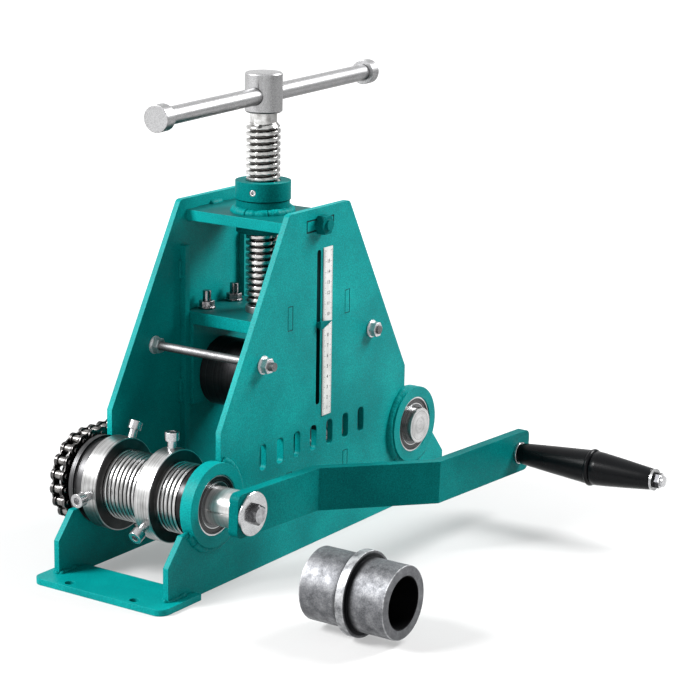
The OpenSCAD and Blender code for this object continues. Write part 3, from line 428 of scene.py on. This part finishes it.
def worn_steel():
    """The loose roller: mottled grey, with painted shade beside its flange and in its bore, bright on its
    edges.
    """
    material, tree, shader = new_material("worn_steel", 0.45, 1.0)
    place = place_of(tree)
    x, y, z = split(tree, place)
    radius = radius_from(tree, x, z, (SPARE_X, SPARE_Z))
    bore_rim = (0.0231, 0.0237)          # distances at which a tone gives way to the next
    body_rim = (0.0309, 0.0316)
    flange_foot = (0.0345, 0.0365)
    flange_rim = (0.0368, 0.0374)
    length_end = (0.0409, 0.0417)
    flange_shade_reach = (0.005, 0.013)
    cloud = noise(tree, place, 95, 8, 0.72)
    fine = noise(tree, place, 900, 2, 0.6)
    share = blended(tree, 0.25, cloud, fine)
    body_tone = ramp(tree, share,
                     (0.34, srgb(76, 77, 80)), (0.5, srgb(116, 117, 120)), (0.68, srgb(156, 157, 159)))
    end_tone = ramp(tree, share, (0.35, srgb(86, 87, 90)), (0.68, srgb(134, 135, 138)))
    edge_tone = ramp(tree, cloud, (0.36, srgb(104, 105, 108)), (0.6, srgb(186, 187, 189)))

    # Painted shade beside the flange, below its foot, and in the bore.
    beside_flange = until(tree, gap_from(tree, y, SPARE_FLANGE_Y), *flange_shade_reach)
    flange_shade = times(tree, beside_flange, until(tree, radius, *flange_foot))
    end_face = times(tree, between(tree, facing(tree, "Y"), 0.75, 0.97), until(tree, radius, *body_rim))
    bore = until(tree, radius, *bore_rim)
    flange_edge = between(tree, radius, *flange_rim)
    end_edge = between(tree, gap_from(tree, y, SPARE_MIDDLE_Y), *length_end)
    edge = times(tree, larger(tree, flange_edge, end_edge), opposite(tree, larger(tree, end_face, bore)))

    # Painted shade beside the flange, then the end faces' tone, then painted shade in the bore.
    colour = mixed(tree, flange_shade, body_tone, srgb(34, 35, 37))
    colour = mixed(tree, end_face, colour, end_tone)
    colour = mixed(tree, bore, colour, srgb(20, 20, 22))
    coloured(tree, shader, mixed(tree, edge, colour, edge_tone))
    roughened(tree, shader, cloud, 0.62, 0.5)
    bumped(tree, shader, share, 0.25, 0.0005)
    return material


def spindle_steel():
    """Bright up to the end washer, dark on the nut."""
    material, tree, shader = new_material("spindle_steel", 0.25, 1.0)
    place = place_of(tree)
    fine = noise(tree, place, 900, 2, 0.6)
    along = unsigned(tree, split(tree, place)[1])
    nut_start = (GRIP_END_Y + 0.0029, GRIP_END_Y + 0.0031)
    nut_end = (GRIP_END_Y + 0.0088, GRIP_END_Y + 0.009)
    nut = times(tree, between(tree, along, *nut_start), until(tree, along, *nut_end))
    light = ramp(tree, fine, (0.35, srgb(150, 150, 152)), (0.65, srgb(206, 206, 207)))
    coloured(tree, shader, mixed(tree, nut, light, srgb(52, 52, 54)))
    bumped(tree, shader, fine, 0.06)
    return material


def thread_steel():
    """Bright crests and darker grooves round the lifting screw."""
    material, tree, shader = new_material("thread_steel", 0.2, 1.0)
    place = place_of(tree)
    x, y, z = split(tree, place)
    radius = radius_from(tree, x, y, (0.0, 0.0))
    stain = noise(tree, place, 160, 4, 0.6)
    crest = ramp(tree, stain, (0.35, srgb(160, 159, 157)), (0.65, srgb(206, 206, 205)))
    groove_rim = (THREAD_ROOT + 0.0002, THREAD_CREST - 0.0014)
    thread_end = (THREAD_END_Z - 0.005, THREAD_END_Z - 0.003)
    # Darker in the grooves, up to near the thread's end.
    groove = times(tree, until(tree, radius, *groove_rim), until(tree, z, *thread_end))
    coloured(tree, shader, mixed(tree, groove, crest, srgb(72, 70, 68)))
    roughened(tree, shader, stain, 0.28, 0.17)
    bumped(tree, shader, stain, 0.1)
    return material


def bearing_steel():
    """Bright inner and outer rings with a dark seal between them."""
    material, tree, shader = new_material("bearing_steel", 0.25, 0.9)
    x, y, z = split(tree, place_of(tree))
    radius = radius_from(tree, unsigned(tree, x), z, REAR)
    inner_rim = (0.0202, 0.0207)
    seal_start = (0.0209, 0.0213)
    seal_end = (0.0259, 0.0263)
    seal = times(tree, between(tree, radius, *seal_start), until(tree, radius, *seal_end))
    rings = ramp(tree, between(tree, radius, *inner_rim), (0.2, srgb(96, 97, 98)), (0.8, srgb(206, 207, 208)))
    fine = noise(tree, joined(tree, radius, y, 0.0), 900, 2)
    coloured(tree, shader, mixed(tree, seal, rings, srgb(20, 21, 23)))
    tree.links.new(ramp(tree, seal, (0.2, grey(1.0)), (0.8, grey(0.0))), shader.inputs["Metallic"])
    roughened(tree, shader, fine, 0.2, 0.34)
    bumped(tree, shader, fine, 0.08)
    return material


def chain_steel():
    """Dark side plates and brighter rollers between them, with grease."""
    material, tree, shader = new_material("chain_steel", 0.3, 1.0)
    place = place_of(tree)
    aside = gap_from(tree, split(tree, place)[1], CHAIN_Y)
    plate_gap = (0.0037, 0.0039)         # between the middle and the inner plates
    inside = until(tree, aside, *plate_gap)
    stain = noise(tree, place, 240, 4, 0.6)
    plates = ramp(tree, stain, (0.35, srgb(58, 57, 57)), (0.65, srgb(112, 110, 109)))
    rollers = ramp(tree, stain, (0.35, srgb(92, 90, 88)), (0.65, srgb(150, 148, 146)))
    coloured(tree, shader, mixed(tree, inside, plates, rollers))
    roughened(tree, shader, stain, 0.4, 0.22)
    bumped(tree, shader, stain, 0.12)
    return material


# Grip and ruler

def black_plastic():
    material, tree, shader = new_material("black_plastic", 0.3)
    shader.inputs["Specular IOR Level"].default_value = 0.13
    place = place_of(tree)
    cloud = noise(tree, place, 30, 3)
    coloured(tree, shader, ramp(tree, cloud, (0.3, srgb(9, 10, 12)), (0.7, srgb(15, 16, 19))))
    roughened(tree, shader, cloud, 0.24, 0.32)
    bumped(tree, shader, noise(tree, place, 500, 2), 0.03)
    return material


def white_scale():
    material, tree, shader = new_material("white_scale", 0.45)
    smear = noise(tree, scaled(tree, place_of(tree), (90, 90, 25)), 1, 4, 0.6)
    coloured(tree, shader, ramp(tree, smear, (0.25, srgb(206, 206, 202)), (0.6, srgb(238, 238, 236))))
    bumped(tree, shader, smear, 0.05)
    return material


def scale_ink():
    material, tree, shader = new_material("scale_ink", 0.5)
    spots = noise(tree, place_of(tree), 1500, 2)
    coloured(tree, shader, ramp(tree, spots, (0.3, srgb(18, 18, 20)), (0.8, srgb(60, 60, 62))))
    return material


# Mesh helpers

def add_piece(name, mesh, body, material, replaced=()):
    piece = bpy.data.objects.new(name, mesh)
    scene.collection.objects.link(piece)
    piece.data.materials.append(material)
    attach(piece, body)
    if replaced:
        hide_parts(*replaced)


def smoothed(mesh, sharp):
    """Smooth shading, apart from the edges that turn by more than sharp degrees."""
    for polygon in mesh.polygons:
        polygon.use_smooth = True
    mesh.set_sharp_from_angle(angle=math.radians(sharp))
    return mesh


def mesh_from(name, points, faces, sharp):
    mesh = bpy.data.meshes.new(name)
    mesh.from_pydata([tuple(point) for point in points], [], faces)
    mesh.validate()
    return smoothed(mesh, sharp)


def circle(radius, height, steps):
    """Points of a circle about the Z axis."""
    angles = [2 * math.pi * step / steps for step in range(steps)]
    return [(radius * math.cos(angle), radius * math.sin(angle), height) for angle in angles]


def bridge(rows, steps, first=0):
    """Faces between successive rows of steps points each, from the point first on."""
    faces = []
    for row in range(rows - 1):
        low = first + row * steps
        high = low + steps
        for step in range(steps):
            after = (step + 1) % steps
            faces.append((low + step, low + after, high + after, high + step))
    return faces


def end_caps(rows, steps, first=0):
    """The faces that close the first and the last row of a bridge."""
    last = first + (rows - 1) * steps
    return [tuple(first + step for step in range(steps - 1, -1, -1)),
            tuple(last + step for step in range(steps))]


def lathe_mesh(name, profile, place, sharp):
    """Turns (radius, along) points about the local Z axis of place."""
    steps = 96
    points = [place @ Vector(point) for radius, along in profile for point in circle(radius, along, steps)]
    return mesh_from(name, points, bridge(len(profile), steps), sharp)


def soften(name, width, segments):
    """Breaks a CAD node's edges with modifiers; its own mesh stays as it is."""
    piece = nodes[name]
    weld = piece.modifiers.new("weld", "WELD")
    weld.merge_threshold = 0.00001
    flat = piece.modifiers.new("flat", "DECIMATE")
    flat.decimate_type = "DISSOLVE"
    flat.angle_limit = math.radians(0.6)
    bevel = piece.modifiers.new("bevel", "BEVEL")
    bevel.width = width
    bevel.segments = segments
    bevel.limit_method = "ANGLE"
    bevel.angle_limit = math.radians(35)
    bevel.use_clamp_overlap = False
    bevel.harden_normals = False
    normals = piece.modifiers.new("normals", "WEIGHTED_NORMAL")
    normals.keep_sharp = False
    normals.weight = 60


def finish_node(name, material, width, segments=2):
    piece = nodes[name]
    piece.data.materials.clear()
    piece.data.materials.append(material)
    if width:
        soften(name, width, segments)


# Lifting screw with a true thread

def thread_radius(height, turn):
    """Radius of the thread at a height, and at a share of a turn of its own profile."""
    flank = 0.16
    crest_end = 0.78
    run_out = THREAD_ROOT + (THREAD_END_Z - height) * 0.85
    run_in = THREAD_ROOT + (height - THREAD_START_Z) * 2
    rising = min(1.0, max(0.0, turn / flank))
    falling = min(1.0, max(0.0, (crest_end - turn) / flank))
    lift = min(rising, falling)
    lift = lift * lift * (3 - 2 * lift)
    limit = max(min(run_out, run_in), THREAD_ROOT)
    return min(THREAD_ROOT + (THREAD_CREST - THREAD_ROOT) * lift, limit)


def thread_row(height, steps):
    points = []
    for step in range(steps):
        angle = 2 * math.pi * step / steps
        radius = thread_radius(height, (height / THREAD_PITCH - step / steps) % 1.0)
        points.append((radius * math.cos(angle), radius * math.sin(angle), height))
    return points


def screw_thread(material):
    steps = 72
    rise = 0.0004
    pivot = [(PIVOT_RADIUS - 0.0001, PIVOT_START_Z), (PIVOT_RADIUS, PIVOT_START_Z + 0.0002),
             (PIVOT_RADIUS, THREAD_START_Z), (THREAD_ROOT, THREAD_START_Z)]
    neck = [(THREAD_ROOT, THREAD_END_Z + 0.0002), (THREAD_ROOT, HUB_START_Z)]
    rows = [circle(radius, height, steps) for radius, height in pivot]
    for row in range(round((THREAD_END_Z - THREAD_START_Z) / rise) + 1):
        rows.append(thread_row(THREAD_START_Z + row * rise, steps))
    rows += [circle(radius, height, steps) for radius, height in neck]
    points = [point for row in rows for point in row]
    mesh = mesh_from("screw_thread", points, bridge(len(rows), steps) + end_caps(len(rows), steps), 50)
    add_piece("screw_thread", mesh, "screw", material, ["lift_screw"])


# Crank: grip, washer and bolt head

def shaft_place():
    """The front shaft's axis, turned by the crank's droop."""
    return Matrix.Translation((-SHAFT_X, 0, SHAFT_Z)) @ Matrix.Rotation(CRANK_DROOP, 4, "Y")


def outwards():
    return Matrix.Rotation(math.radians(90), 4, "X")


def grip_profile():
    """The grip from the crank's arm outwards: a cone that widens, a ridge, and one that narrows."""
    thin = 0.01025
    wide = 0.0165
    corner = 0.002
    ridge = GRIP_END_Y - 0.142 * 0.45
    ridge_half = 0.0024
    neck = 0.0034
    centre = thin - corner
    profile = [(SPINDLE_RADIUS, GRIP_START_Y), (0.0085, GRIP_START_Y)]
    for share in (0.0, 0.35, 0.7, 1.0):
        angle = share * math.pi / 2
        profile.append((centre + corner * math.sin(angle), GRIP_START_Y + corner * (1 - math.cos(angle))))
    rise = ridge - ridge_half - GRIP_START_Y - corner
    for share in (0.15, 0.3, 0.45, 0.6, 0.75, 0.9, 1.0):
        profile.append((thin + (wide - thin) * share ** 0.92, GRIP_START_Y + corner + rise * share))
    for share in (0.0, 0.08, 0.2, 0.35, 0.5, 0.65, 0.8, 0.92, 1.0):
        bulge = math.sin(math.pi * share) ** 0.5 if 0 < share < 1 else 0.0
        profile.append((0.0158 + 0.0021 * bulge, ridge + ridge_half * (2 * share - 1)))
    profile.append((0.0152, ridge + 0.0028))
    fall = GRIP_END_Y - corner - ridge - neck
    for share in (0.0, 0.012, 0.1, 0.25, 0.4, 0.55, 0.7, 0.85, 1.0):
        lip = 0.0004 if share == 0.0 else 0.0
        profile.append((wide - lip - (wide - thin) * share ** 1.15, ridge + neck + fall * share))
    for share in (0.35, 0.7, 1.0):
        angle = share * math.pi / 2
        profile.append((centre + corner * math.cos(angle), GRIP_END_Y - corner + corner * math.sin(angle)))
    return profile + [(SPINDLE_RADIUS, GRIP_END_Y), (SPINDLE_RADIUS, GRIP_START_Y)]


def grip(material):
    place = shaft_place() @ Matrix.Translation((CRANK_RADIUS, 0, 0)) @ outwards()
    mesh = lathe_mesh("grip_body", grip_profile(), place, 40)
    add_piece("grip_body", mesh, "grip", material, ["handle_grip"])


def crank_washer(material):
    """The bolt's shank and the large washer, as one turned piece."""
    core = 0.0001
    profile = [(core, SHANK_END_Y), (SHANK_RADIUS, SHANK_END_Y), (SHANK_RADIUS, WASHER_START_Y),
               (WASHER_RADIUS - 0.00045, WASHER_START_Y), (WASHER_RADIUS, WASHER_START_Y + 0.0005),
               (WASHER_RADIUS, WASHER_FACE_Y - 0.0007), (WASHER_RADIUS - 0.00055, WASHER_FACE_Y - 0.0001),
               (0.012, WASHER_FACE_Y + 0.0003), (core, WASHER_FACE_Y + 0.0003)]
    mesh = lathe_mesh("crank_washer", profile, shaft_place() @ outwards(), 30)
    add_piece("crank_washer", mesh, "front_shaft_set", material, ["crank_bolt"])


def crank_bolt_head(material):
    """A hexagon with a round chamfer."""
    steps = 48
    half = HEAD_FLATS / 2
    end = WASHER_FACE_Y + HEAD_HEIGHT
    chamfer = 0.0016
    # Height of each ring of points, and the radius that cuts the hexagon there, if any does
    rings = ((WASHER_FACE_Y, None), (end - chamfer, None), (end, half * 0.86), (end, 0.0001))
    place = shaft_place() @ outwards()
    maker = bmesh.new()
    rows = []
    for along, cut in rings:
        row = []
        for step in range(steps):
            angle = 2 * math.pi * step / steps
            wedge = (angle + math.radians(30)) % math.radians(60) - math.radians(30)
            reach = half / math.cos(wedge)
            if cut:
                reach = min(cut, reach)
            point = Vector((reach * math.cos(angle), reach * math.sin(angle), along))
            row.append(maker.verts.new(place @ point))
        rows.append(row)
    for low, high in zip(rows, rows[1:]):
        for step in range(steps):
            after = (step + 1) % steps
            maker.faces.new((low[step], low[after], high[after], high[step]))
    mesh = bpy.data.meshes.new("crank_bolt_head")
    maker.to_mesh(mesh)
    maker.free()
    add_piece("crank_bolt_head", smoothed(mesh, 22), "front_shaft_set", material)


# Weld beads

BEAD_GAP = 0.0007             # between two points of a bead's path


def sweep(points, faces, path, size, rough, seed):
    """Adds one lumpy bead along a path of points a fraction of a millimetre apart."""
    sides = 10
    taper = 3.0               # points over which each end thins out
    chance = random.Random(seed)
    first = len(points)
    count = len(path)
    lump = chance.uniform(0.0, 6.0)
    for index, centre in enumerate(path):
        ahead = path[min(index + 1, count - 1)] - path[max(index - 1, 0)]
        ahead.normalize()
        side = ahead.orthogonal().normalized()
        other = ahead.cross(side)
        ripple = (0.5 * abs(math.sin(lump + index * 0.5)) + abs(math.sin(lump * 2 + index * 0.19))
                  + 0.9 * math.sin(lump * 3 + index * 0.071)) / 2
        end = min(1.0, (min(index, count - 1 - index) + 0.35) / taper)
        reach = size * math.sqrt(end) * (1 - rough + 2 * rough * ripple)
        for step in range(sides):
            angle = 2 * math.pi * step / sides
            radius = reach * (1 + chance.uniform(-0.06, 0.06) * rough * 4)
            points.append(centre + side * radius * math.cos(angle) + other * radius * math.sin(angle))
    faces.extend(bridge(count, sides, first) + end_caps(count, sides, first))


def straight(start, end):
    start = Vector(start)
    end = Vector(end)
    count = max(4, int((end - start).length / BEAD_GAP))
    return [start.lerp(end, i / count) for i in range(count + 1)]


def arc_angles(radius, start, end):
    count = max(6, int(abs(math.radians(end - start)) * radius / BEAD_GAP))
    return [math.radians(start + (end - start) * i / count) for i in range(count + 1)]


def arc_y(centre, y, radius, start, end):
    return [Vector((centre[0] + radius * math.cos(a), y, centre[1] + radius * math.sin(a)))
            for a in arc_angles(radius, start, end)]


def arc_z(z, radius, start, end):
    return [Vector((radius * math.cos(a), radius * math.sin(a), z)) for a in arc_angles(radius, start, end)]


def nut_beads():
    """Round the nut on the top plate, in four runs."""
    return [(arc_z(TOP_PLATE_Z + 0.0006, 0.0258, start - 4, start + 94), 0.0044, 0.14)
            for start in (0, 90, 180, 270)]


def ring_beads():
    """Round both bearing rings, and where the front one meets its foot."""
    radius = 0.0392
    corner_z = 0.0602
    return [(arc_y(FRONT, -PLATE_Y, radius, -152, 70), 0.0042, 0.08),
            (arc_y(REAR, -PLATE_Y, radius, 110, 332), 0.0042, 0.08),
            (straight((-0.2035, -PLATE_Y + 0.002, corner_z), (-0.1955, -PLATE_Y + 0.0005, corner_z)),
             0.0026, 0.2)]


def foot_beads():
    """Feet on the base plates."""
    length = 0.024
    inset = 0.0005
    beads = []
    for end in (-1, 1):
        x = end * FOOT_X
        for side in (-1, 1):
            for y in (side * PLATE_Y, side * INNER_Y):
                beads.append((straight((x, y, BASE_TOP_Z), (x - end * length, y, BASE_TOP_Z)), 0.003, 0.25))
            beads.append((straight((x, side * (INNER_Y + inset), BASE_TOP_Z),
                                   (x, side * (PLATE_Y - inset), BASE_TOP_Z)), 0.0034, 0.25))
    return beads


def inner_beads():
    """Top plate and guide strips, on the inner sides of the side plates."""
    under_z = TOP_PLATE_Z - 0.01
    beads = []
    for side in (-1, 1):
        wall = side * INNER_Y
        beads.append((straight((-0.004, wall, TOP_PLATE_Z), (0.014, wall, TOP_PLATE_Z)), 0.0034, 0.16))
        beads.append((straight((-0.036, wall, under_z), (-0.012, wall, under_z)), 0.0028, 0.16))
        y = side * (INNER_Y - 0.0002)
        for x in (-GUIDE_X, GUIDE_X):
            for low, high in ((0.126, 0.151), (0.246, 0.265)):
                beads.append((straight((x, y, low), (x, y, high)), 0.0028, 0.16))
    return beads


def frame_welds(material):
    points = []
    faces = []
    beads = nut_beads() + ring_beads() + foot_beads() + inner_beads()
    for index, (path, size, rough) in enumerate(beads):
        sweep(points, faces, path, size, rough, index + 1)
    add_piece("frame_welds", mesh_from("frame_welds", points, faces, 60), "frame", material)


# Numbers and marks of the ruler

RULER_ZERO_Z = 0.119


def add_mark(maker, y, x0, x1, z0, z1):
    corners = [maker.verts.new(corner) for corner in ((x0, y, z0), (x1, y, z0), (x1, y, z1), (x0, y, z1))]
    maker.faces.new(corners)


def add_number(maker, number, place):
    """Writes one number, upright and facing the crank's side."""
    curve = bpy.data.curves.new("number", "FONT")
    curve.body = str(number)
    curve.size = 4.6 * MM
    curve.align_x = "CENTER"
    curve.align_y = "CENTER"
    curve.offset = 0.08 * MM
    written = bpy.data.objects.new("number", curve)
    shape = bpy.data.meshes.new_from_object(written)
    stand = Matrix(((1, 0, 0, 0), (0, 0, -1, 0), (0, 1, 0, 0), (0, 0, 0, 1)))
    shape.transform(Matrix.Translation(place) @ stand)
    maker.from_mesh(shape)
    bpy.data.objects.remove(written)
    bpy.data.meshes.remove(shape)


def ruler_marks(material):
    low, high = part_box("ruler")
    front = low.y - 0.00004
    margin = 0.2 * MM
    half = 0.13 * MM
    maker = bmesh.new()
    for step in range(4, 162):
        z = RULER_ZERO_Z + step * MM
        reach = 4.2 if step % 10 == 0 else 3.2 if step % 5 == 0 else 2.2
        add_mark(maker, front, low.x + margin, low.x + reach * MM, z - half, z + half)
        add_mark(maker, front, high.x - (reach - 0.8) * MM, high.x - margin, z - half, z + half)
    middle = (low.x + high.x) / 2 + 0.5 * MM
    for number in range(1, 16):
        add_number(maker, number, (middle, front, RULER_ZERO_Z + number * 10 * MM))
    mesh = bpy.data.meshes.new("ruler_marks")
    maker.to_mesh(mesh)
    maker.free()
    add_piece("ruler_marks", mesh, "frame", material)


# Floor, world and lights

AWAY_X = 0.72                 # the direction in which floor and sky are darker in reflections
AWAY_Y = -0.69


def ray_kinds(tree):
    return tree.nodes.new("ShaderNodeLightPath").outputs


def seen_directly(tree, rays):
    """1 for rays from the camera, a reflection or glass, 0 for the light that falls on things."""
    indirect = larger(tree, rays["Is Glossy Ray"], rays["Is Transmission Ray"])
    return larger(tree, rays["Is Camera Ray"], indirect)


def along_away(tree, x, y):
    return plus(tree, times(tree, x, AWAY_X), times(tree, y, AWAY_Y))


def floor_white(tree, rays):
    """The floor's own light: weakest under the machine, where that paints a contact shadow, white far out,
    dimmed for reflections.
    """
    shadow_under_machine = 0.3
    beside_machine = 0.42
    far_out = 1.0
    dimmed = 0.35
    x, y = split(tree, place_of(tree))[:2]
    far = between(tree, radius_from(tree, x, y, (0.0, 0.0)), 0.5, 1.7)
    # Painted contact shadow: less of the floor's light within the machine's footprint.
    beside = between(tree, unsigned(tree, y), 0.045, 0.075)
    beyond = between(tree, unsigned(tree, x), 0.2, 0.26)
    near = blended(tree, larger(tree, beside, beyond), shadow_under_machine, beside_machine)
    dim = times(tree, between(tree, along_away(tree, x, y), 0.5, 1.3), opposite(tree, rays["Is Camera Ray"]))
    return times(tree, blended(tree, far, near, far_out), blended(tree, dim, 1.0, dimmed))


def add_floor():
    mesh = bpy.data.meshes.new("floor")
    half = 8.0
    mesh.from_pydata([(-half, -half, 0), (half, -half, 0), (half, half, 0), (-half, half, 0)], [],
                     [(0, 1, 2, 3)])
    floor = bpy.data.objects.new("floor", mesh)
    scene.collection.objects.link(floor)
    material, tree, shader = new_material("floor_card", 0.9)
    shader.inputs["Base Color"].default_value = grey(0.42)
    shader.inputs["Specular IOR Level"].default_value = 0.0
    shader.inputs["Emission Color"].default_value = grey(1.0)
    rays = ray_kinds(tree)
    white = times(tree, seen_directly(tree, rays), floor_white(tree, rays))
    tree.links.new(white, shader.inputs["Emission Strength"])
    mesh.materials.append(material)


def add_world():
    world = bpy.data.worlds.new("world")
    world.use_nodes = True
    scene.world = world
    tree = world.node_tree
    background = tree.nodes["Background"]
    background.inputs["Color"].default_value = grey(1.0)
    lighting = 0.3
    darkest = 0.22
    seen = seen_directly(tree, ray_kinds(tree))
    x, y = split(tree, tree.nodes.new("ShaderNodeTexCoord").outputs["Generated"])[:2]
    shade = blended(tree, between(tree, along_away(tree, x, y), 0.15, 0.8), 1.0, darkest)
    tree.links.new(blended(tree, seen, lighting, shade), background.inputs["Strength"])


def add_light(name, place, size, power):
    """A round soft light that points at the machine's lower half."""
    data = bpy.data.lights.new(name, "AREA")
    data.shape = "DISK"
    data.size = size
    data.energy = power
    light = bpy.data.objects.new(name, data)
    light.location = place
    light.rotation_mode = "QUATERNION"
    light.rotation_quaternion = (Vector((0, 0, 0.2)) - Vector(place)).to_track_quat("-Z", "Y")
    scene.collection.objects.link(light)


add_camera()
add_floor()
add_world()
add_light("key", (-1.95, 1.5, 2.0), 1.2, 150)
add_light("fill", (1.05, -0.78, 1.2), 0.8, 37)
scene.view_settings.view_transform = "Standard"


# Which finish each CAD node has

BRIGHT = (srgb(206, 206, 206), srgb(126, 126, 125))
SHAFT_TONES = (srgb(206, 205, 204), srgb(176, 175, 174))
HOUSING_TONES = (srgb(92, 92, 93), srgb(52, 52, 53))
ROLLER_TONES = (srgb(70, 68, 70), srgb(40, 39, 42))
# Tones of the painted shade on the sleeves' and collars' end faces, the radius below which the sleeves get
# painted shade, and the radius of the collars' painted highlight.
SLEEVE_FACE_SHADE = srgb(80, 79, 78)
COLLAR_FACE_SHADE = srgb(70, 69, 69)
SLEEVE_SHADE_ROOT = 0.0316
COLLAR_HIGHLIGHT_RIM = 0.0418
CENTRE = (0, ROLLER_Z)

TEAL = teal_paint("teal_paint")
CRANK_TEAL = teal_paint("crank_paint", shade=0.6)
NUT_TEAL = teal_paint("nut_paint", shade=0.55)
# Top plate and carriage top, with painted shade on their level faces.
TOP_TEAL_LEVEL_SHADE = teal_paint("top_paint_level_shade", level_lit_share=0.44)
WELD_TEAL = teal_paint("weld_paint", shade=0.85)
FRONT_SHAFT = turned_steel("front_shaft_steel", FRONT, SHAFT_TONES, 0.12, stains=0.1, metallic=0.6)
REAR_SHAFT = turned_steel("rear_shaft_steel", REAR, BRIGHT, 0.2)
FRONT_SLEEVE = turned_steel("front_sleeve_steel", FRONT, BRIGHT, 0.22, face=SLEEVE_FACE_SHADE, shade_root=SLEEVE_SHADE_ROOT)
REAR_SLEEVE = turned_steel("rear_sleeve_steel", REAR, BRIGHT, 0.22, face=SLEEVE_FACE_SHADE, shade_root=SLEEVE_SHADE_ROOT)
FRONT_COLLAR = turned_steel("front_collar_steel", FRONT, BRIGHT, 0.24, face=COLLAR_FACE_SHADE, highlight_rim=COLLAR_HIGHLIGHT_RIM)
REAR_COLLAR = turned_steel("rear_collar_steel", REAR, BRIGHT, 0.24, face=COLLAR_FACE_SHADE, highlight_rim=COLLAR_HIGHLIGHT_RIM)
ROLLER = turned_steel("centre_roller_steel", CENTRE, ROLLER_TONES, 0.4)
AXLE = turned_steel("axle_steel", CENTRE, BRIGHT, 0.3)
FRONT_HOUSING = turned_steel("front_housing_steel", FRONT, HOUSING_TONES, 0.34)
REAR_HOUSING = turned_steel("rear_housing_steel", REAR, HOUSING_TONES, 0.34)
BEARING = bearing_steel()
CHAIN = chain_steel()
SPARE = worn_steel()
SPINDLE = spindle_steel()
GROOVED_STEEL = thread_steel()
BOLT_HEAD = bolt_steel()
SPROCKET = plain_steel("sprocket_steel", srgb(84, 84, 84), srgb(48, 48, 48), 0.4)
ZINC = plain_steel("zinc_steel", srgb(206, 206, 207), srgb(158, 158, 160), 0.2)
DARK_CHROME = plain_steel("dark_chrome", srgb(150, 148, 150), srgb(44, 42, 45), 0.16, grain=500, stains=0.4)
# The satin steel and the rod steel get painted shade on the sides that face down.
SATIN = plain_steel("satin_steel", srgb(200, 200, 201), srgb(158, 158, 159), 0.34,
                    grain=1100, stains=0.2, strength=0.12, under=0.85)
RODS = plain_steel("rod_steel", srgb(144, 144, 145), srgb(96, 96, 97), 0.5, grain=1000, stains=0.4, under=0.5)
NUTS = plain_steel("nut_steel", srgb(224, 224, 225), srgb(184, 184, 186), 0.42, grain=1100, stains=0.2)
BLACK = black_plastic()
WHITE = white_scale()
INK = scale_ink()

FINISHES = {
    TEAL: ["side_plate_near", "side_plate_far", "base_plate_front", "base_plate_rear",
           "guide_strips", "ring_near_front", "ring_near_rear",
           "carriage_cheek_near", "carriage_cheek_far"],
    TOP_TEAL_LEVEL_SHADE: ["top_plate", "carriage_top"],
    CRANK_TEAL: ["crank_arm", "pointer"],
    NUT_TEAL: ["lift_nut", "nut_ring", "top_stud_nuts"],
    FRONT_SHAFT: ["front_shaft"],
    FRONT_SLEEVE: ["front_sleeve"],
    FRONT_COLLAR: ["front_collar_inner", "front_collar_outer"],
    REAR_SHAFT: ["rear_shaft"],
    REAR_SLEEVE: ["rear_sleeve"],
    REAR_COLLAR: ["rear_collar_inner", "rear_collar_outer"],
    ROLLER: ["centre_roller"],
    AXLE: ["roller_axle"],
    FRONT_HOUSING: ["housing_far_front"],
    REAR_HOUSING: ["housing_far_rear"],
    BEARING: ["bearings_near", "bearings_far"],
    SPROCKET: ["front_sprocket", "rear_sprocket"],
    SPINDLE: ["handle_spindle"],
    RODS: ["tie_rods"],
    NUTS: ["tie_rod_nuts"],
    ZINC: ["crank_bolt", "handle_ferrule",
           "nut_ring_screw", "front_collar_inner_screws", "front_collar_outer_screws",
           "rear_collar_inner_screws", "rear_collar_outer_screws"],
    DARK_CHROME: ["carriage_studs", "carriage_nuts"],
    SATIN: ["screw_hub", "turning_bar", "bar_caps", "thrust_bush", "screw_keeper"],
    GROOVED_STEEL: ["lift_screw"],
    SPARE: ["spare_roller"],
    WHITE: ["ruler"],
    BLACK: ["handle_grip"],
}
CHAIN_NODES = ("chain_upper_run", "chain_lower_run", "chain_front_wrap", "chain_rear_wrap")
SHARP_NODES = ("front_sleeve", "rear_sleeve", "front_shaft", "rear_shaft", "lift_screw",
               "handle_grip", "handle_spindle", "crank_bolt", "tie_rods", "turning_bar",
               "bearings_near", "bearings_far", "ruler")
SOFT_EDGE = 0.0004
CHAIN_EDGE = 0.0002

for finish, names in FINISHES.items():
    for name in names:
        finish_node(name, finish, 0 if name in SHARP_NODES else SOFT_EDGE)
for name in CHAIN_NODES:
    finish_node(name, CHAIN, CHAIN_EDGE, segments=1)

screw_thread(GROOVED_STEEL)
grip(BLACK)
crank_washer(ZINC)
crank_bolt_head(BOLT_HEAD)
frame_welds(WELD_TEAL)
ruler_marks(INK)
